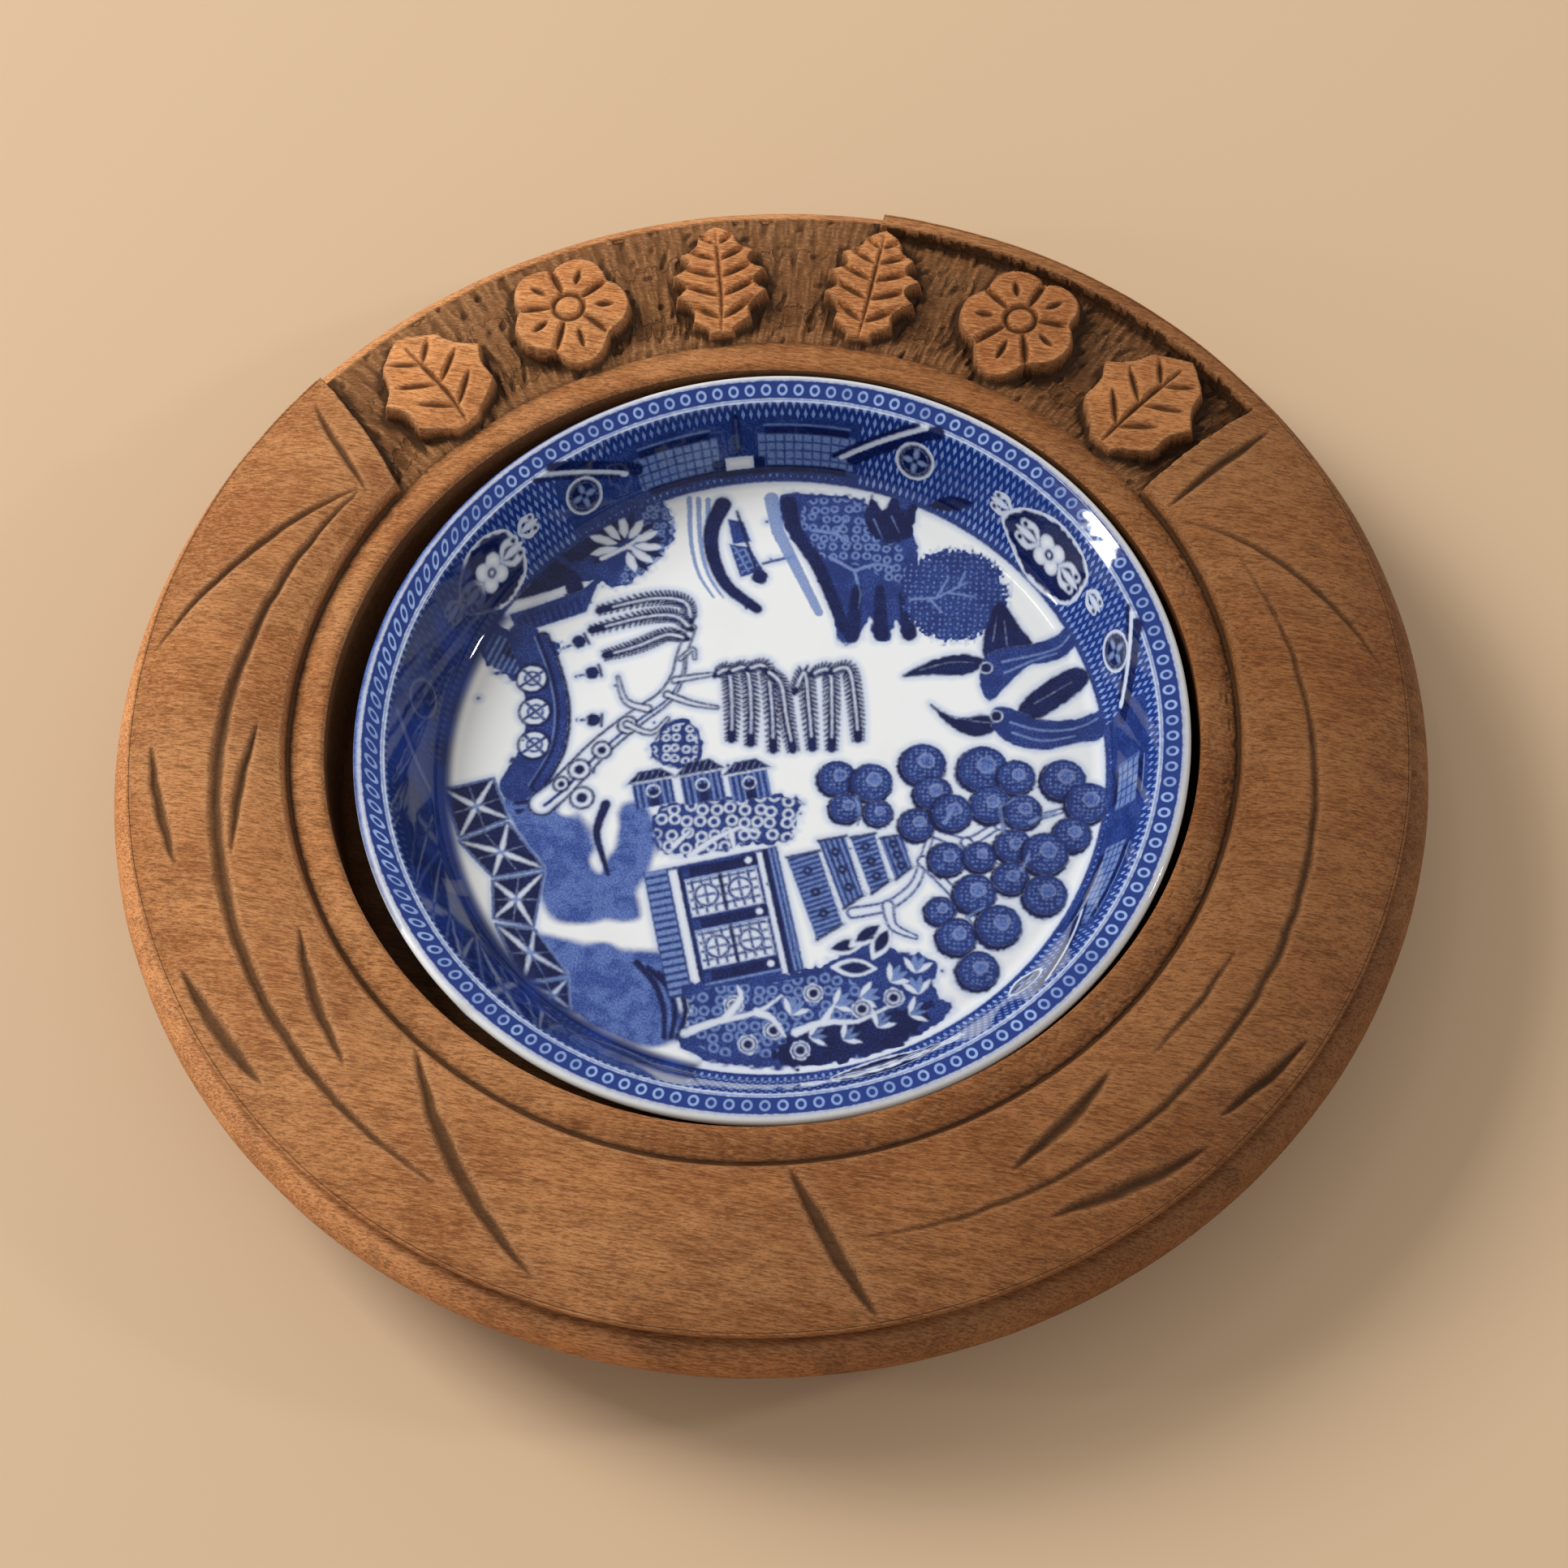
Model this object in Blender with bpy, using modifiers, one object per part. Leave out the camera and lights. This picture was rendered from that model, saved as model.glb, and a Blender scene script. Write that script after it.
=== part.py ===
"""A turned and carved wooden butter dish with a loose china liner.

Units are metres and +Z is up. The origin is on the turning axis, in the plane that the dish stands on.
The carved frieze is at the back (+Y), and the grain of the wood runs along X.
"""

import math

import bmesh
import bpy

# The china liner: a shallow round dish with leaning walls, a narrow flat rim and a foot ring.
liner_radius = 0.0633
liner_wall = 0.0030
liner_depth = 0.0133
liner_lean = 29.0
liner_well_round = 0.0050
liner_lip_radius = 0.0011
liner_rim_width = 0.0050
liner_rim_rise = 0.0009
liner_foot_setback = 0.0115
liner_foot_width = 0.0030
liner_foot_height = 0.0020
foot_round = 0.0004
liner_steps = 60

# The fit of the liner in its recess. It lies loose, pushed to one side by side_play.
liner_play = 0.0028
side_play = 0.0009
seat_gap = 0.0003
corner_radius = 0.0030

# The turned wooden dish, from the recess outwards.
floor_thickness = 0.0062
roll_width = 0.0053
roll_height = 0.0012
roll_drop = 0.0004
quirk_width = 0.0011
quirk_depth = 0.0016
brim_width = 0.0242
bead_projection = 0.0034
bead_height = 0.0096
step_depth = 0.0010
neck_height = 0.0024
foot_inset = 0.0160
foot_width = 0.0140
foot_slope = 0.0040
foot_rise = 0.0020
foot_hollow = 0.0012
dish_steps = 72

# Heights of the turned outline above the surface that the dish stands on.
crown_height = 0.0280
inner_drop = 0.0016
outer_drop = 0.0026
crown_setback = 0.0096

# Seasoned wood is narrower across the grain than along it.
across_grain = 0.982

# The carved frieze: a sunken ground with six motifs left standing.
frieze_depth = 0.0024
frieze_inner = (38.0, 146.5)
frieze_outer = (39.0, 140.0)
border_width = 0.0026
border_end = 82.0
motif_middle = 89.9
motif_pitch = 17.3
motif_foot = 0.0011
motif_head = 0.0040
leaf_width = 0.0190
ear_width = 0.0150
flower_width = 0.0192

# The carved lines. Each is (start, start angle, end, end angle, bow, width). Start, end and bow are shares
# of the brim's width: a line runs from start to end, and bow pushes its middle outwards. Angles are in degrees.
lines = {
    "left_end": (0.11, 149.0, 0.83, 144.0, 0.00, 0.0017),
    "right_end": (0.03, 34.1, 0.86, 36.1, 0.00, 0.0020),
    "left_edge": (0.17, 149.4, 0.92, 174.3, 0.00, 0.0014),
    "left_vein": (0.16, 149.8, 0.61, 241.3, 0.06, 0.0021),
    "left_cut_1": (0.84, 184.9, 0.73, 197.8, 0.00, 0.0018),
    "left_cut_2": (0.16, 182.7, 0.38, 198.5, 0.00, 0.0016),
    "left_cut_3": (0.14, 209.8, 0.39, 226.3, 0.00, 0.0018),
    "left_cut_4": (0.88, 208.6, 0.83, 222.3, 0.00, 0.0024),
    "left_cut_5": (0.02, 230.5, 0.86, 253.2, 0.00, 0.0024),
    "stem": (0.02, 277.0, 0.94, 283.2, 0.00, 0.0027),
    "right_edge": (0.06, 30.9, 0.86, 8.2, 0.04, 0.0014),
    "right_vein": (0.20, 24.2, 0.48, -78.0, 0.17, 0.0018),
    "right_cut_1": (0.17, -46.0, 0.36, -60.4, 0.00, 0.0026),
    "right_cut_2": (0.91, -31.0, 0.80, -41.4, 0.00, 0.0021),
    "right_cut_3": (0.88, -44.4, 0.71, -59.6, 0.00, 0.0026),
    "right_cut_4": (0.27, -26.7, 0.26, -41.4, 0.00, 0.0014),
}

# Sizes that follow from those above.
recess_radius = liner_radius + liner_play
quirk_radius = recess_radius + roll_width
brim_start = quirk_radius + quirk_width
rim_radius = brim_start + brim_width
dish_radius = rim_radius + bead_projection
crown_radius = brim_start + crown_setback
rim_height = crown_height - outer_drop
bead_top = rim_height - step_depth - neck_height
bead_middle = bead_top - bead_height / 2
brim_inner_height = crown_height - inner_drop
roll_top = brim_inner_height - roll_drop
foot_radius = dish_radius - foot_inset
hollow_radius = foot_radius - foot_width
frieze_ground = rim_height - frieze_depth
liner_height = liner_depth + liner_wall + liner_foot_height
liner_rest = floor_thickness + seat_gap
liner_well_top = liner_foot_height + liner_wall
liner_wall_top = liner_height - liner_rim_rise
round_rise = liner_well_round * (1 - math.sin(math.radians(liner_lean)))
round_run = liner_well_round * math.cos(math.radians(liner_lean))
wall_run = (liner_wall_top - liner_well_top - round_rise) * math.tan(math.radians(liner_lean))
liner_well_radius = liner_radius - liner_rim_width - wall_run - round_run
liner_foot_radius = liner_well_radius - liner_foot_setback


def clear_scene():
    for obj in list(bpy.data.objects):
        bpy.data.objects.remove(obj)


def new_collection(name):
    collection = bpy.data.collections.new(name)
    bpy.context.scene.collection.children.link(collection)
    return collection


def new_material(name, colour, roughness, coat=0.0):
    material = bpy.data.materials.new(name)
    material.use_nodes = True
    shader = material.node_tree.nodes["Principled BSDF"]
    shader.inputs["Base Color"].default_value = (*colour, 1.0)
    shader.inputs["Roughness"].default_value = roughness
    shader.inputs["Metallic"].default_value = 0.0
    shader.inputs["Coat Weight"].default_value = coat
    return material


def arc(centre_r, centre_z, radius_r, radius_z, start, end, pieces):
    """Points of an elliptical arc in the (r, z) plane, both ends included, with angles in degrees."""
    points = []
    for i in range(pieces + 1):
        turn = math.radians(start + (end - start) * i / pieces)
        points.append((centre_r + radius_r * math.cos(turn), centre_z + radius_z * math.sin(turn)))
    return points


def brim_height(radius):
    """Height of the domed brim at this radius."""
    if radius < crown_radius:
        drop, reach = inner_drop, crown_setback
    else:
        drop, reach = outer_drop, rim_radius - crown_radius
    return crown_height - drop * ((radius - crown_radius) / reach) ** 2


def dish_profile():
    """From the middle of the recess out over the brim, down the bead and back along the base."""
    corner = recess_radius - corner_radius
    points = [(0.0, floor_thickness)]
    points += arc(corner, floor_thickness + corner_radius, corner_radius, corner_radius, -90, 0, 3)
    roll_middle = recess_radius + roll_width / 2
    roll_side = roll_top - roll_height
    points += arc(roll_middle, roll_side, roll_width / 2, roll_height, 180, 0, 6)
    points.append((quirk_radius + quirk_width / 4, roll_top - quirk_depth))
    brim_pieces = 9
    for i in range(brim_pieces + 1):
        radius = brim_start + brim_width * i / brim_pieces
        points.append((radius, brim_height(radius)))
    step_radius = rim_radius - step_depth
    points.append((rim_radius, rim_height - step_depth))
    points.append((step_radius, bead_top))
    points += arc(step_radius, bead_middle, dish_radius - step_radius, bead_height / 2, 72, -72, 8)
    points.append((foot_radius + foot_slope, foot_rise))
    points.append((foot_radius, 0.0))
    points.append((hollow_radius, 0.0))
    points.append((hollow_radius - foot_hollow, foot_hollow))
    points.append((0.0, foot_hollow))
    return points


def liner_profile():
    """From the middle of the well up the inside, over the rim, down the outside and under the foot."""
    under = liner_foot_height
    lean = math.radians(liner_lean)
    lip_r = liner_radius - liner_lip_radius
    lip_z = liner_height - liner_lip_radius
    round_z = liner_well_top + liner_well_round
    thick = liner_well_round + liner_wall
    rim_under = liner_wall_top - liner_wall * 0.9
    outer_r = liner_well_radius + thick * math.cos(lean)
    outer_z = round_z - thick * math.sin(lean)
    points = [(0.0, liner_well_top)]
    points += arc(liner_well_radius, round_z, liner_well_round, liner_well_round, -90, -liner_lean, 5)
    points.append((liner_radius - liner_rim_width, liner_wall_top))
    points += arc(lip_r, lip_z, liner_lip_radius, liner_lip_radius, 100, -40, 6)
    points.append((outer_r + (rim_under - outer_z) * math.tan(lean), rim_under))
    points += arc(liner_well_radius, round_z, thick, thick, -liner_lean, -90, 5)
    points.append((liner_foot_radius + foot_round, under))
    points.append((liner_foot_radius, foot_round))
    points.append((liner_foot_radius - foot_round, 0.0))
    points.append((liner_foot_radius - liner_foot_width + foot_round, 0.0))
    points.append((liner_foot_radius - liner_foot_width, under))
    points.append((0.0, under))
    return points


def turned(name, profile, steps, collection):
    """A closed turned solid. The profile runs from the axis outwards and down to the axis again."""
    mesh = bpy.data.meshes.new(name)
    corners = [(radius, 0.0, height) for radius, height in profile]
    edges = [(i, i + 1) for i in range(len(corners) - 1)]
    mesh.from_pydata(corners, edges, [])
    obj = bpy.data.objects.new(name, mesh)
    collection.objects.link(obj)
    screw = obj.modifiers.new("turning", "SCREW")
    screw.axis = "Z"
    screw.angle = math.tau
    screw.steps = steps
    screw.render_steps = steps
    screw.use_merge_vertices = True
    screw.merge_threshold = 0.00001
    screw.use_smooth_shade = True
    return obj


def mesh_from_curve(curve_object, collection, parent):
    """Replaces a curve object with a closed mesh, so that it can cut."""
    graph = bpy.context.evaluated_depsgraph_get()
    mesh = bpy.data.meshes.new_from_object(curve_object.evaluated_get(graph))
    shape = bmesh.new()
    shape.from_mesh(mesh)
    bmesh.ops.remove_doubles(shape, verts=shape.verts, dist=0.000001)
    bmesh.ops.recalc_face_normals(shape, faces=shape.faces)
    shape.to_mesh(mesh)
    shape.free()
    solid = bpy.data.objects.new(curve_object.name + "_solid", mesh)
    solid.matrix_world = curve_object.matrix_world
    bpy.data.objects.remove(curve_object)
    collection.objects.link(solid)
    solid.parent = parent
    solid.hide_render = True
    solid.display_type = "WIRE"
    return solid


def flat_solid(name, outline, low, high, collection, parent):
    """A flat outline in XY raised into a solid from height low to height high."""
    curve = bpy.data.curves.new(name, "CURVE")
    curve.dimensions = "2D"
    curve.fill_mode = "BOTH"
    curve.extrude = (high - low) / 2
    spline = curve.splines.new("POLY")
    spline.points.add(len(outline) - 1)
    spline.use_cyclic_u = True
    for point, (x, y) in zip(spline.points, outline):
        point.co = (x, y, 0.0, 1.0)
    obj = bpy.data.objects.new(name, curve)
    obj.location.z = (low + high) / 2
    collection.objects.link(obj)
    bpy.context.view_layer.update()
    return mesh_from_curve(obj, collection, parent)


def cut(obj, cutter, name, operation="DIFFERENCE"):
    boolean = obj.modifiers.new(name, "BOOLEAN")
    boolean.operation = operation
    boolean.solver = "EXACT"
    boolean.object = cutter


def polar(radius, degrees):
    turn = math.radians(degrees)
    return radius * math.cos(turn), radius * math.sin(turn)


def arc_points(radius, start, end, pieces):
    return [polar(radius, start + (end - start) * i / pieces) for i in range(pieces + 1)]


def ground_outline():
    """The frieze's sunken ground. It keeps a thin border on one side and runs out at the rim on the other."""
    border = rim_radius - border_width
    outside = dish_radius + border_width
    points = arc_points(quirk_radius, frieze_inner[1], frieze_inner[0], 24)
    points += arc_points(border, frieze_outer[0], border_end, 10)
    points += arc_points(outside, border_end, frieze_outer[1], 12)
    return points


def placed(outline, degrees, start):
    """Turns an outline with its foot at (0, 0) and its head along +Y so that the head points outwards."""
    turn = math.radians(degrees)
    points = []
    for x, y in outline:
        radius = start + y
        points.append(
            (radius * math.cos(turn) + x * math.sin(turn), radius * math.sin(turn) - x * math.cos(turn))
        )
    return points


def spine_outline(length, width, lobes, notch, foot_share, pieces=22):
    """A leaf or an ear of wheat: two mirrored edges with scalloped lobes, on a short square foot."""
    edge = []
    for i in range(pieces + 1):
        share = i / pieces
        swell = math.sin(math.pi * share**0.8) ** 0.7 if 0 < i < pieces else 0.0
        scallop = 1 - notch * abs(math.cos(math.pi * lobes * share))
        edge.append((max(width / 2 * swell * scallop, foot_share * width * (1 - share)), length * share))
    right = edge[:-1]
    left = [(-x, y) for x, y in reversed(right)]
    return right + [(0.0, length)] + left


def flower_outline(length, width, petals=5, pieces=40):
    """An open flower seen from above, a little longer than it is wide."""
    points = []
    for i in range(pieces):
        turn = math.tau * i / pieces
        reach = 0.80 + 0.20 * abs(math.cos(petals * turn / 2))
        points.append((width / 2 * reach * math.sin(turn), length / 2 * (1 - reach * math.cos(turn))))
    return points


def motif_outlines(length):
    leaf = spine_outline(length, leaf_width, 3, 0.20, 0.10)
    flower = flower_outline(length, flower_width)
    ear = spine_outline(length, ear_width, 5, 0.30, 0.12, 30)
    return [leaf, flower, ear, ear, flower, leaf]


def cut_frieze(dish, cutters):
    """Sinks the ground round the six motifs."""
    start = quirk_radius + motif_foot
    length = rim_radius - motif_head - start
    above = crown_height + frieze_depth
    ground = flat_solid("frieze_ground", ground_outline(), frieze_ground, above, cutters, dish)
    below = frieze_ground - frieze_depth
    for i, outline in enumerate(motif_outlines(length)):
        degrees = motif_middle + motif_pitch * (2.5 - i)
        motif = flat_solid(
            f"motif_{i + 1}", placed(outline, degrees, start), below, above + frieze_depth, cutters, dish
        )
        cut(ground, motif, motif.name)
    cut(dish, ground, "frieze")


def line_cutter(name, line, cutters, dish):
    """A V-shaped gouge cut that follows the brim and tapers to its ends."""
    start, start_angle, end, end_angle, bow, width = line
    pieces = 4 + round(abs(end_angle - start_angle) / 6)
    curve = bpy.data.curves.new(name, "CURVE")
    curve.dimensions = "3D"
    curve.bevel_depth = width / 2
    curve.bevel_resolution = 0
    curve.use_fill_caps = True
    spline = curve.splines.new("POLY")
    spline.points.add(pieces)
    for i, point in enumerate(spline.points):
        share = i / pieces
        across = start + (end - start) * share + 4 * bow * share * (1 - share)
        radius = brim_start + brim_width * across
        x, y = polar(radius, start_angle + (end_angle - start_angle) * share)
        point.co = (x, y, brim_height(radius), 1.0)
        point.radius = 0.25 + 0.75 * math.sin(math.pi * share) ** 0.5 if 0 < i < pieces else 0.25
    obj = bpy.data.objects.new(name, curve)
    cutters.objects.link(obj)
    bpy.context.view_layer.update()
    return mesh_from_curve(obj, cutters, dish)


def make_dish(parts, cutters):
    dish = turned("wooden_dish", dish_profile(), dish_steps, parts)
    dish.scale.y = across_grain
    cut_frieze(dish, cutters)
    for name, line in lines.items():
        cut(dish, line_cutter(name, line, cutters, dish), name)
    dish.data.materials.append(new_material("carved_wood", (0.33, 0.14, 0.055), 0.55))
    return dish


def make_liner(parts):
    liner = turned("china_liner", liner_profile(), liner_steps, parts)
    liner.location = (side_play, 0.0, liner_rest)
    liner.data.materials.append(new_material("printed_china", (0.55, 0.62, 0.80), 0.12, 0.5))
    return liner


def main():
    clear_scene()
    parts = new_collection("butter_dish")
    cutters = new_collection("cutters")
    cutters.hide_render = True
    make_dish(parts, cutters)
    make_liner(parts)


main()
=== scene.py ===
"""Looks of the carved wooden butter dish and its printed china liner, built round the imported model.

Shapes are worked out in millimetres and turned into metres when a mesh is made.
"""

import math

import bpy
import numpy as np
from mathutils import Matrix, Vector


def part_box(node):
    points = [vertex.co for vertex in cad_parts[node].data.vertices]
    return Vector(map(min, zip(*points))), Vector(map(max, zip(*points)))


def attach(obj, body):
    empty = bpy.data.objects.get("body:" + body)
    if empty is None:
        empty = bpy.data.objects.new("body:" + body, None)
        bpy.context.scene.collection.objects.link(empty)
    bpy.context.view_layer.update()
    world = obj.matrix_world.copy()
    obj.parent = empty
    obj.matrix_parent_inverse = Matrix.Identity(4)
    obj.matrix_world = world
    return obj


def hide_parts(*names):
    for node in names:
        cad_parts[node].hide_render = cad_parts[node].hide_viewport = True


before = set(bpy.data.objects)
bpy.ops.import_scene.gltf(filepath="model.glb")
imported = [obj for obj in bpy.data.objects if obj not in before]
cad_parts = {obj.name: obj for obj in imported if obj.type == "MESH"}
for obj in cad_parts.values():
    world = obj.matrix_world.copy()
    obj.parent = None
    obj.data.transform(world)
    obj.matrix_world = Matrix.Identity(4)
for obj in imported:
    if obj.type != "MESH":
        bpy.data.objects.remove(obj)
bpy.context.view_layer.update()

MM = 0.001

# Turned outline of the dish, as in the part but for the hollow band round the recess.
RECESS_RADIUS = 66.1
ROLL_WIDTH = 5.3
QUIRK_RADIUS = RECESS_RADIUS + ROLL_WIDTH
BRIM_START = 72.5
RIM_RADIUS = 96.7
BRIM_WIDTH = RIM_RADIUS - BRIM_START
DISH_RADIUS = 100.1
CROWN_RADIUS = 82.1
CROWN_HEIGHT = 28.0
INNER_DROP = 1.6
OUTER_DROP = 2.6
FLOOR_HEIGHT = 6.2
UNDER_HEIGHT = 1.2
ROLL_TOP = 26.0
ROLL_HEIGHT = 1.2
BAND = ((0.5, 0.55), (1.3, 0.7), (3.2, 0.3), (4.6, -0.25), (5.3, -0.45))
STEP_RADIUS = 95.7
BEAD_TOP = 22.0
BEAD_MIDDLE = 17.2
BEAD_HEIGHT = 9.6
FOOT_RADIUS = 84.1
HOLLOW_RADIUS = 70.1
ACROSS_GRAIN = 0.982

# How the old wood has moved: the recess is a little more oval than the rim, and off to one side.
RECESS_SHIFT = -0.6
RECESS_SQUEEZE = 0.985

# The carved frieze and lines, in the same places as in the part. The ground is deeper, some lines wider.
# A line is (start, its angle, end, its angle, bow, width): shares of the brim, degrees and millimetres.
FRIEZE_INNER = (38.0, 146.5)
FRIEZE_OUTER = (39.0, 140.0)
BORDER_WIDTH = 2.6
BORDER_END = 82.0
FRIEZE_DEPTH = 3.5
MOTIF_MIDDLE = 89.9
MOTIF_PITCH = 17.3
MOTIF_FOOT = 1.1
MOTIF_HEAD = 4.0
LEAF_WIDTH = 19.0
EAR_WIDTH = 15.0
FLOWER_WIDTH = 19.2
LINES = {
    "left_end": (0.11, 149.0, 0.83, 144.0, 0.0, 1.7),
    "right_end": (0.03, 34.1, 0.86, 36.1, 0.0, 2.0),
    "left_edge": (0.17, 149.4, 0.92, 174.3, 0.0, 1.7),
    "left_vein": (0.16, 149.8, 0.61, 241.3, 0.06, 2.7),
    "left_cut_1": (0.84, 184.9, 0.73, 197.8, 0.0, 2.3),
    "left_cut_2": (0.16, 182.7, 0.38, 198.5, 0.0, 2.1),
    "left_cut_3": (0.14, 209.8, 0.39, 226.3, 0.0, 2.4),
    "left_cut_4": (0.88, 208.6, 0.83, 222.3, 0.0, 2.9),
    "left_cut_5": (0.02, 230.5, 0.86, 253.2, 0.0, 2.9),
    "stem": (0.02, 277.0, 0.94, 283.2, 0.0, 2.9),
    "right_edge": (0.06, 30.9, 0.86, 8.2, 0.04, 1.4),
    "right_vein": (0.2, 24.2, 0.48, -78.0, 0.17, 1.8),
    "right_cut_1": (0.17, -46.0, 0.36, -60.4, 0.0, 2.6),
    "right_cut_2": (0.91, -31.0, 0.8, -41.4, 0.0, 2.1),
    "right_cut_3": (0.88, -44.4, 0.71, -59.6, 0.0, 2.6),
    "right_cut_4": (0.27, -26.7, 0.26, -41.4, 0.0, 1.4),
}
FAINT_LINES = {"right_edge": 0.95, "right_vein": 0.75, "right_cut_3": 0.8, "right_cut_4": 0.8}

# The china liner, repeated from the part. The lean is the wall's angle from the vertical.
LINER_WALL = 3.0
LINER_FOOT = 37.0
LINER_FOOT_WIDTH = 3.0
LINER_FOOT_HEIGHT = 2.0
LINER_LEAN = 29.0
LINER_WELL = 48.48
LINER_WELL_ROUND = 5.0
LINER_WALL_TOP = (58.3, 17.4)
LINER_LIP_MIDDLE = (62.2, 17.2)
LINER_LIP = 1.1
LINER_BACK_TOP = (60.23, 14.7)


# ---------------------------------------------------------------- maths


def smooth(low, high, value):
    share = np.clip((value - low) / (high - low), 0, 1)
    return share * share * (3 - 2 * share)


def noise(x, y, seed):
    """Smooth noise from -1 to 1, with features one unit apart."""
    cell_x, cell_y = np.floor(x), np.floor(y)
    share_x, share_y = x - cell_x, y - cell_y
    share_x = share_x * share_x * (3 - 2 * share_x)
    share_y = share_y * share_y * (3 - 2 * share_y)

    def corner(across, up):
        value = np.sin((cell_x + across) * 127.1 + (cell_y + up) * 311.7 + seed * 74.7) * 43758.5453
        return 2 * (value - np.floor(value)) - 1

    low = corner(0, 0) * (1 - share_x) + corner(1, 0) * share_x
    high = corner(0, 1) * (1 - share_x) + corner(1, 1) * share_x
    return low * (1 - share_y) + high * share_y


def segment_distance(x, y, start, end):
    """Distance to a straight segment, and the share of its length at the nearest point."""
    run_x, run_y = end[0] - start[0], end[1] - start[1]
    length = max(run_x * run_x + run_y * run_y, 1e-9)
    share = np.clip(((x - start[0]) * run_x + (y - start[1]) * run_y) / length, 0, 1)
    return np.hypot(x - start[0] - run_x * share, y - start[1] - run_y * share), share


def polygon_distance(x, y, outline):
    """Signed distance to a closed outline, negative inside."""
    best = np.full(x.shape, np.inf)
    inside = np.zeros(x.shape, bool)
    for start, end in zip(outline, outline[1:] + outline[:1]):
        best = np.minimum(best, segment_distance(x, y, start, end)[0])
        rise = end[1] - start[1]
        if rise:
            crosses = (start[1] > y) != (end[1] > y)
            inside ^= crosses & (x < start[0] + (y - start[1]) * (end[0] - start[0]) / rise)
    return np.where(inside, -best, best)


def polar(radius, degrees):
    turn = math.radians(degrees)
    return radius * math.cos(turn), radius * math.sin(turn)


def brim_height(radius):
    drop = np.where(radius < CROWN_RADIUS, INNER_DROP, OUTER_DROP)
    reach = np.where(radius < CROWN_RADIUS, CROWN_RADIUS - BRIM_START, RIM_RADIUS - CROWN_RADIUS)
    return CROWN_HEIGHT - drop * ((radius - CROWN_RADIUS) / reach) ** 2


# ---------------------------------------------------------------- carving


def arc_points(radius, start, end, pieces):
    return [polar(radius, start + (end - start) * i / pieces) for i in range(pieces + 1)]


def ground_outline():
    points = arc_points(QUIRK_RADIUS - 2, FRIEZE_INNER[1], FRIEZE_INNER[0], 24)
    points += arc_points(RIM_RADIUS - BORDER_WIDTH, FRIEZE_OUTER[0], BORDER_END, 10)
    points += arc_points(DISH_RADIUS + 3, BORDER_END, FRIEZE_OUTER[1], 12)
    return points


def placed(outline, degrees, start):
    """Places points drawn with their foot at (0, 0) and their head along +Y: the head points outwards."""
    turn = math.radians(degrees)
    cos, sin = math.cos(turn), math.sin(turn)
    return [((start + y) * cos + x * sin, (start + y) * sin - x * cos) for x, y in outline]


def spine_outline(length, width, lobes, notch, foot_share, pieces):
    edge = []
    for i in range(pieces + 1):
        share = i / pieces
        swell = math.sin(math.pi * share**0.8) ** 0.7 if 0 < i < pieces else 0.0
        scallop = 1 - notch * abs(math.cos(math.pi * lobes * share))
        edge.append((max(width / 2 * swell * scallop, foot_share * width * (1 - share)), length * share))
    right = edge[:-1]
    return right + [(0.0, length)] + [(-x, y) for x, y in reversed(right)]


def flower_outline(length, width, petals=5, pieces=40):
    points = []
    for i in range(pieces):
        turn = math.tau * i / pieces
        reach = 0.8 + 0.2 * abs(math.cos(petals * turn / 2))
        points.append((width / 2 * reach * math.sin(turn), length / 2 * (1 - reach * math.cos(turn))))
    return points


def leaf_cuts(length):
    """The veins of a leaf: a midrib and three pairs of side veins. Each cut is (start, end, width)."""
    cuts = [((0, 0.5), (0, 0.86 * length), 1.5)]
    for share, reach in ((0.16, 0.52), (0.4, 0.62), (0.64, 0.42)):
        for side in (-1, 1):
            cuts.append(((0, share * length), (side * reach * LEAF_WIDTH / 2, (share + 0.19) * length), 1.5))
    return cuts


def ear_cuts(length):
    """The grains of an ear of wheat: chip cuts in pairs up a central stalk."""
    cuts = [((0, 0), (0, 0.94 * length), 1.1)]
    for i in range(5):
        foot = (0.12 + 0.17 * i) * length
        reach = EAR_WIDTH / 2 * (0.8, 0.94, 0.9, 0.74, 0.48)[i]
        for side in (-1, 1):
            cuts.append(((side * 0.4, foot), (side * reach, foot + 0.15 * length), 1.7))
    return cuts


def flower_cuts(length):
    """The gaps between five petals, and a short cut down the middle of each."""
    middle = length / 2
    cuts = []
    for i in range(5):
        gap, petal = math.tau * (i + 0.5) / 5, math.tau * i / 5
        for turn, near, far, width in ((gap, 0.24, 0.98, 1.8), (petal, 0.46, 0.74, 1.5)):
            start = (near * FLOWER_WIDTH / 2 * math.sin(turn), middle * (1 - near * math.cos(turn)))
            end = (far * FLOWER_WIDTH / 2 * math.sin(turn), middle * (1 - far * math.cos(turn)))
            cuts.append((start, end, width))
    return cuts


def motifs():
    """Each of the six motifs as (outline, cuts, kind), in the order of the part."""
    length = RIM_RADIUS - MOTIF_HEAD - QUIRK_RADIUS - MOTIF_FOOT
    leaf = (spine_outline(length, LEAF_WIDTH, 3, 0.2, 0.1, 22), leaf_cuts(length), "leaf")
    flower = (flower_outline(length, FLOWER_WIDTH), flower_cuts(length), "flower")
    ear = (spine_outline(length, EAR_WIDTH, 5, 0.3, 0.12, 30), ear_cuts(length), "ear")
    return [leaf, flower, ear, ear, flower, leaf]


def cut_depth(x, y, start, end, width, slope=0.85, taper=0.5):
    """Depth of a V cut with pointed ends."""
    distance, share = segment_distance(x, y, start, end)
    half = width / 2 * np.clip(np.sin(math.pi * (0.06 + 0.88 * share)), 0, 1) ** taper
    return slope * np.maximum(half - distance, 0)


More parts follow.
